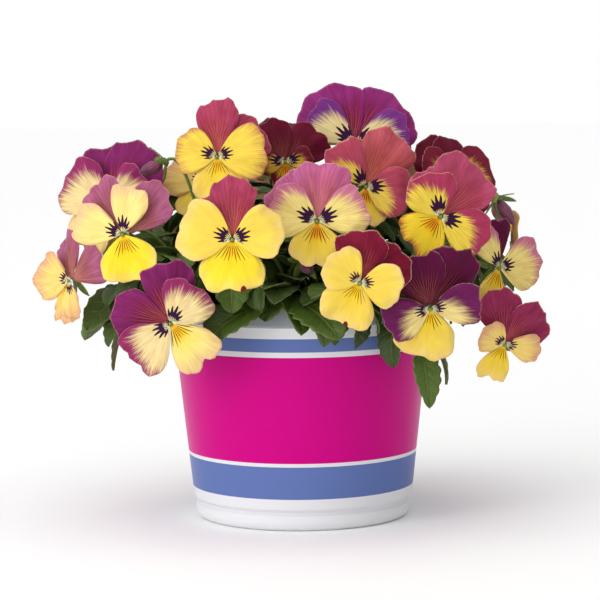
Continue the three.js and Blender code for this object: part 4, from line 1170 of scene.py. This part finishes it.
def add_calyx(shape, head, seed, material):
    """The calyx behind a flower or bud: a small cup and pointed sepals round it."""
    top, back = head["calyx_top"], head["calyx_top"] - CALYX_DEPTH
    profile = [(0, top), (CALYX_RADIUS * 0.9, top - 0.6), (CALYX_RADIUS, top - 1.8), (1.2, back), (0, back)]
    points, faces = lathe(rounded(profile, 0.8, 3), 12)
    shape.add(in_bloom(head, points[:, 0], points[:, 1], points[:, 2]), faces, material, spot=(0.3, 0, 0))
    along = np.linspace(0, 1, 9)[:, None]
    side = np.linspace(-1, 1, 5)[None, :]
    for i in range(SEPALS):
        azimuth = 90 + 360 / SEPALS * i
        c, s = cosine(azimuth), sine(azimuth)
        width = 2.1 * np.sin(np.pi * (0.16 + 0.84 * along)) ** 0.8 + 0.12
        reach = 1.0 + (SEPAL_LENGTH - 1.0) * along
        depth = top - CALYX_DEPTH / 2 - head["spread_back"] * along**1.3 + 0.25 * np.abs(side)
        thick = 0.35 * (1 - 0.6 * np.abs(side))
        u, v = reach * c - width * side * s, reach * s + width * side * c
        sheets = [in_bloom(head, u, v, depth + sign * thick) for sign in (1, -1)]
        shape.add_sheet(*sheets, material, spot=(0.15 + 0.3 * chance(seed, i), 0, 0))


def crown_profile():
    below, low = CROWN_RADIUS - SEAT_GAP, SOIL_TOP - CROWN_DEPTH
    return rounded([
        (0, low), (below, low), (below, SOIL_TOP), (CROWN_RADIUS - 1, CROWN_TOP - 1.5), (2.2, CROWN_TOP),
        (0, CROWN_TOP),
    ], 1.5)


def make_plant(plant, blooms, buds, materials):
    """A plant's green: its crown, stems and leaves, and the stalks and calyces of its flowers and buds."""
    shape = Shape()
    heads = [head for head in [*blooms, *buds] if head["plant"] == plant]
    stems = [stem_curve(plant, stem) for stem in STEMS]
    stalks = stalks_of(plant, stems, heads, blooms)
    x, y = crown_of(plant)
    points, faces = lathe(crown_profile(), 16)
    shape.add(points + (x, y, 0), faces, 1, spot=(1, 0, 0))
    for curves, rings, radius, (thick, taper), tone in (
            (stems, 22, STEM_RADIUS, (1.15, 0.35), 0.8), (stalks, 26, STALK_RADIUS, (1.1, 0.2), 0.25)):
        shares = np.linspace(0, 1, rings)
        for curve in curves:
            shape.add(*tube(curve.at(shares), radius * (thick - taper * shares)), 1, spot=(tone, 0, 0))
    for i, head in enumerate(heads):
        add_calyx(shape, head, 50 * plant + i, 1)
    leaves, small_leaves = leaves_of(plant, stems, stalks, blooms)
    for these, first_seed, grid in ((leaves, 0, LEAF_GRID), (small_leaves, 500, SMALL_LEAF_GRID)):
        for i, leaf in enumerate(these):
            add_leaf(shape, leaf, 1000 * plant + first_seed + i, grid, 0)
    node = "plant_" + PLANT_NAMES[plant]
    shape.mesh(node + "_green", materials, slot="foliage", replaced=[node])


def make_bud(bud, material):
    """The furled petals of a bud: a pointed drop with edges that wind round it."""
    rows, sides = 22, 30
    height = np.linspace(0, 1, rows)[:, None]
    turn = np.linspace(0, 2 * np.pi, sides, endpoint=False)[None, :]
    width = np.interp(height, [0, 0.12, 0.4, 0.75, 1], [0.25, 0.7, 0.97, 0.72, 0.04])
    fold = (turn / (2 * np.pi) * 2 + 0.55 * height) % 1
    radius = bud["radius"] * width * (0.9 + 0.1 * fold)
    x, y = radius * np.cos(turn), radius * np.sin(turn)
    points = in_bloom(bud, x, y, SEAT_GAP + height * bud["length"])
    last = (rows - 1) * sides
    faces = [tuple(face) for face in grid_faces(rows, sides, closed=True).tolist()]
    faces += [tuple(range(sides))[::-1], tuple(range(last, last + sides))]
    spot = np.stack(np.broadcast_arrays(height, turn + 0 * height, fold), axis=-1).reshape(-1, 3)
    shape = Shape()
    shape.add(points, faces, 0, spot=spot)
    node = f"bud_{bud['number'] + 1}"
    shape.mesh(node + "_petals", [material], slot="bud", replaced=[node])


# Pot and soil

def drain_cutter(top):
    """What is cut out of the base for its drain holes."""
    shape = Shape()
    points, faces = lathe([(0, 1), (DRAIN_HOLE_RADIUS, 1), (DRAIN_HOLE_RADIUS, top), (0, top)], 32)
    for i in range(DRAIN_HOLES):
        azimuth = 360 / DRAIN_HOLES * (i + 0.5)
        x, y = DRAIN_CIRCLE_RADIUS * cosine(azimuth), DRAIN_CIRCLE_RADIUS * sine(azimuth)
        shape.add(points + (x, y, 0), faces)
    return shape.mesh("drain_cutter", [])


def make_pot(material):
    """The pot: a tapered wall under a thick lip, a groove over the foot, and a base with a channel."""
    def inner(z):
        return wall_radius(z) - WALL_THICKNESS

    groove = FOOT_HEIGHT + 3
    base_top = CHANNEL_HEIGHT + WALL_THICKNESS
    outline = [
        (0, 0), (PAD_RADIUS, 0), (PAD_RADIUS + 1.5, CHANNEL_HEIGHT),
        (RING_INNER_RADIUS - 1.5, CHANNEL_HEIGHT), (RING_INNER_RADIUS, 0),
        (FOOT_BOTTOM_RADIUS, 0), (FOOT_RADIUS - 0.7, 1.6), (FOOT_RADIUS + 0.3, 4.2),
        (FOOT_RADIUS + 0.1, FOOT_HEIGHT - 1.5), (FOOT_RADIUS - 1.5, FOOT_HEIGHT - 0.3),
        (FOOT_RADIUS - 1.2, FOOT_HEIGHT + 0.8), (wall_radius(groove), groove),
        (wall_radius(LIP_BOTTOM), LIP_BOTTOM),
        (LIP_RADIUS, LIP_BOTTOM + 1), (LIP_RADIUS, POT_HEIGHT - 2), (LIP_RADIUS - 1.2, POT_HEIGHT),
        (LIP_RADIUS - 3.4, POT_HEIGHT - 1.6), (inner(LIP_BOTTOM - 2), LIP_BOTTOM - 2),
        (inner(groove), groove), (FOOT_RADIUS - 2.8, WALL_THICKNESS),
        (RING_INNER_RADIUS + 1, WALL_THICKNESS), (RING_INNER_RADIUS - 0.5, base_top), (0, base_top),
    ]
    shape = Shape()
    shape.add(*lathe(rounded(outline, 0.9), POT_SIDES))
    pot = shape.mesh("pot_shell", [material], slot="pot", replaced=["pot"])
    cutter = drain_cutter(base_top + 1)
    cut = pot.modifiers.new("drain holes", "BOOLEAN")
    cut.operation = "DIFFERENCE"
    cut.object = cutter
    evaluated = pot.evaluated_get(bpy.context.evaluated_depsgraph_get())
    pot.data = bpy.data.meshes.new_from_object(evaluated)
    pot.modifiers.clear()
    bpy.data.objects.remove(cutter)
    pot.data.set_sharp_from_angle(angle=math.radians(40))


def add_bark(shape, i, reach):
    """A chip of bark somewhere on the soil, within a reach of its middle."""
    radius, azimuth = reach * math.sqrt(chance(i, 61)) * 0.96, 360 * chance(i, 62)
    size = [1.2 + 2.6 * chance(i, 63), 0.8 + 1.4 * chance(i, 64), 0.3 + 0.4 * chance(i, 65)]
    turn = Matrix.Rotation(6.3 * chance(i, 66), 3, "Z")
    turn = turn @ Matrix.Rotation(0.5 * (chance(i, 67) - 0.5), 3, "X")
    outline = rounded([(0, -1), (0.8, -0.8), (1, 0), (0.75, 0.85), (0, 1)], 0.3, 2)
    points, faces = lathe(outline, 7)
    wobble = np.array([1 + 0.3 * (chance(i, k, 68) - 0.5) for k in range(len(points))])[:, None]
    points = (points * wobble * size) @ np.array(turn.transposed())
    shape.add(points + (radius * cosine(azimuth), radius * sine(azimuth), SOIL_TOP - 0.3), faces, 1)


def make_soil(materials):
    """Potting soil that fills the pot, with crumbs and chips of bark on its lumpy top."""
    shape = Shape()
    floor = CHANNEL_HEIGHT + WALL_THICKNESS + SEAT_GAP
    top_radius = wall_radius(SOIL_TOP) - WALL_THICKNESS - 2 * SEAT_GAP - 3
    side = [
        (0, floor), (FOOT_RADIUS - 3.4, floor),
        (wall_radius(FOOT_HEIGHT + 3) - WALL_THICKNESS - 0.6, FOOT_HEIGHT + 3),
        (wall_radius(SOIL_TOP - 4) - WALL_THICKNESS - 0.6, SOIL_TOP - 4),
    ]
    top = [(top_radius * (1 - i / SOIL_RINGS), SOIL_TOP - 0.8) for i in range(SOIL_RINGS)]
    top.append((0, SOIL_TOP - 0.8))
    points, faces = lathe(side + top, SOIL_SPOKES)
    for point in points:
        if point[2] > SOIL_TOP - 2:
            coarse, crumbs = (noise.noise(Vector((point[0] * fine, point[1] * fine, layer)))
                              for fine, layer in ((0.12, 3.1), (0.45, 7.7)))
            point[2] += SOIL_ROUGHNESS * (0.35 * coarse + 0.4 * crumbs)
    shape.add(points, faces, 0)
    for i in range(BARK_CHIPS):
        add_bark(shape, i, top_radius)
    shape.mesh("soil_top", materials, slot="soil", replaced=["soil"])


# Everything in its place

def with_frame(head, number, calyx_top, back, spread_back):
    """A flower or bud with its number, its directions, its plant, and where its calyx is."""
    return dict(head, number=number, frame=frame_of(head["turn"]), plant=plant_of(head["at"]),
                calyx_top=calyx_top, back=back, spread_back=spread_back)


def bloom_of(row):
    """What a row of BLOOMS says, by name."""
    fixed, own = row[:len(BLOOM_KEYS)], row[len(BLOOM_KEYS):]
    return dict(zip(BLOOM_KEYS, fixed), **(own[0] if own else {}))


def slot_of(node):
    return next(part["material_slot"] for part in frame["record"]["subparts"] if part["node"] == node)


def make_stage():
    """The floor and the lamps of a plain studio."""
    mesh = bpy.data.meshes.new("studio_floor")
    side = FLOOR_HALF_SIDE
    corners = [(-side, -side, 0), (side, -side, 0), (side, side, 0), (-side, side, 0)]
    mesh.from_pydata(corners, [], [(0, 1, 2, 3)])
    mesh.materials.append(floor_material())
    placed("studio_floor", mesh)
    for name, (kind, place, aim, power, settings) in LAMPS.items():
        light = bpy.data.lights.new(name, kind)
        light.energy = power
        for key, setting in settings.items():
            setattr(light, key, setting)
        lamp = placed(name, light)
        lamp.location = place
        lamp.rotation_euler = (Vector(place) - Vector(aim)).to_track_quat("Z", "Y").to_euler()
        lamp.visible_camera = False


def make_sky():
    """A soft sky, brighter on the left, with a white band round the horizon, as a studio's far wall is."""
    world = bpy.data.worlds.new("studio")
    world.use_nodes = True
    sky = Nodes(world.node_tree)
    x, _, z = sky.parts(sky.place("Generated"))
    above = x.mapped(-1, 1, SKY["left"], SKY["right"])
    background = sky.tree.nodes["Background"]
    sky.put(z.mapped(*SKY["horizon_ends"], SKY["horizon"], above), background.inputs["Strength"])
    sky.put((1, 1, 1), background.inputs["Color"])
    bpy.context.scene.world = world


def make_camera():
    """The photograph's viewpoint."""
    camera = bpy.data.cameras.new("camera")
    camera.sensor_width = SENSOR_WIDTH
    camera.lens = FOCAL_PIXELS / IMAGE_SIDE * SENSOR_WIDTH
    camera.shift_x = (IMAGE_SIDE / 2 - PRINCIPAL_X) / IMAGE_SIDE
    right = Vector((1, 0, 0))
    up = Vector((0, sine(CAMERA_PITCH), cosine(CAMERA_PITCH)))
    rolled_right = right * cosine(CAMERA_ROLL) - up * sine(CAMERA_ROLL)
    rolled_up = up * cosine(CAMERA_ROLL) + right * sine(CAMERA_ROLL)
    turn = Matrix((rolled_right, rolled_up, rolled_right.cross(rolled_up))).transposed()
    viewer = placed("camera", camera)
    viewer.matrix_world = Matrix.Translation(Vector(CAMERA_AT) * MM) @ turn.to_4x4()
    bpy.context.scene.camera = viewer


blooms = [with_frame(bloom_of(row), number, CALYX_TOP, CALYX_TOP - CALYX_DEPTH / 2, 4)
          for number, row in enumerate(BLOOMS)]
buds = [with_frame(bud, number, 0, -CALYX_DEPTH / 2, -5) for number, bud in enumerate(BUDS)]

make_camera()
make_stage()
make_sky()
make_pot(pot_material())
make_soil([soil_material(), bark_material()])
green = [leaf_material(), stem_material()]
for plant in range(len(PLANT_NAMES)):
    make_plant(plant, blooms, buds, green)
petal_materials = {kind: petal_material(kind) for kind in ("upper", "side", "lower")}
petal_materials.update(knob=knob_material(), hair=hair_material())
for bloom in blooms:
    make_flower(bloom, petal_materials)
furled = bud_material()
for bud in buds:
    make_bud(bud, furled)
bpy.context.scene.view_settings.view_transform = "Standard"
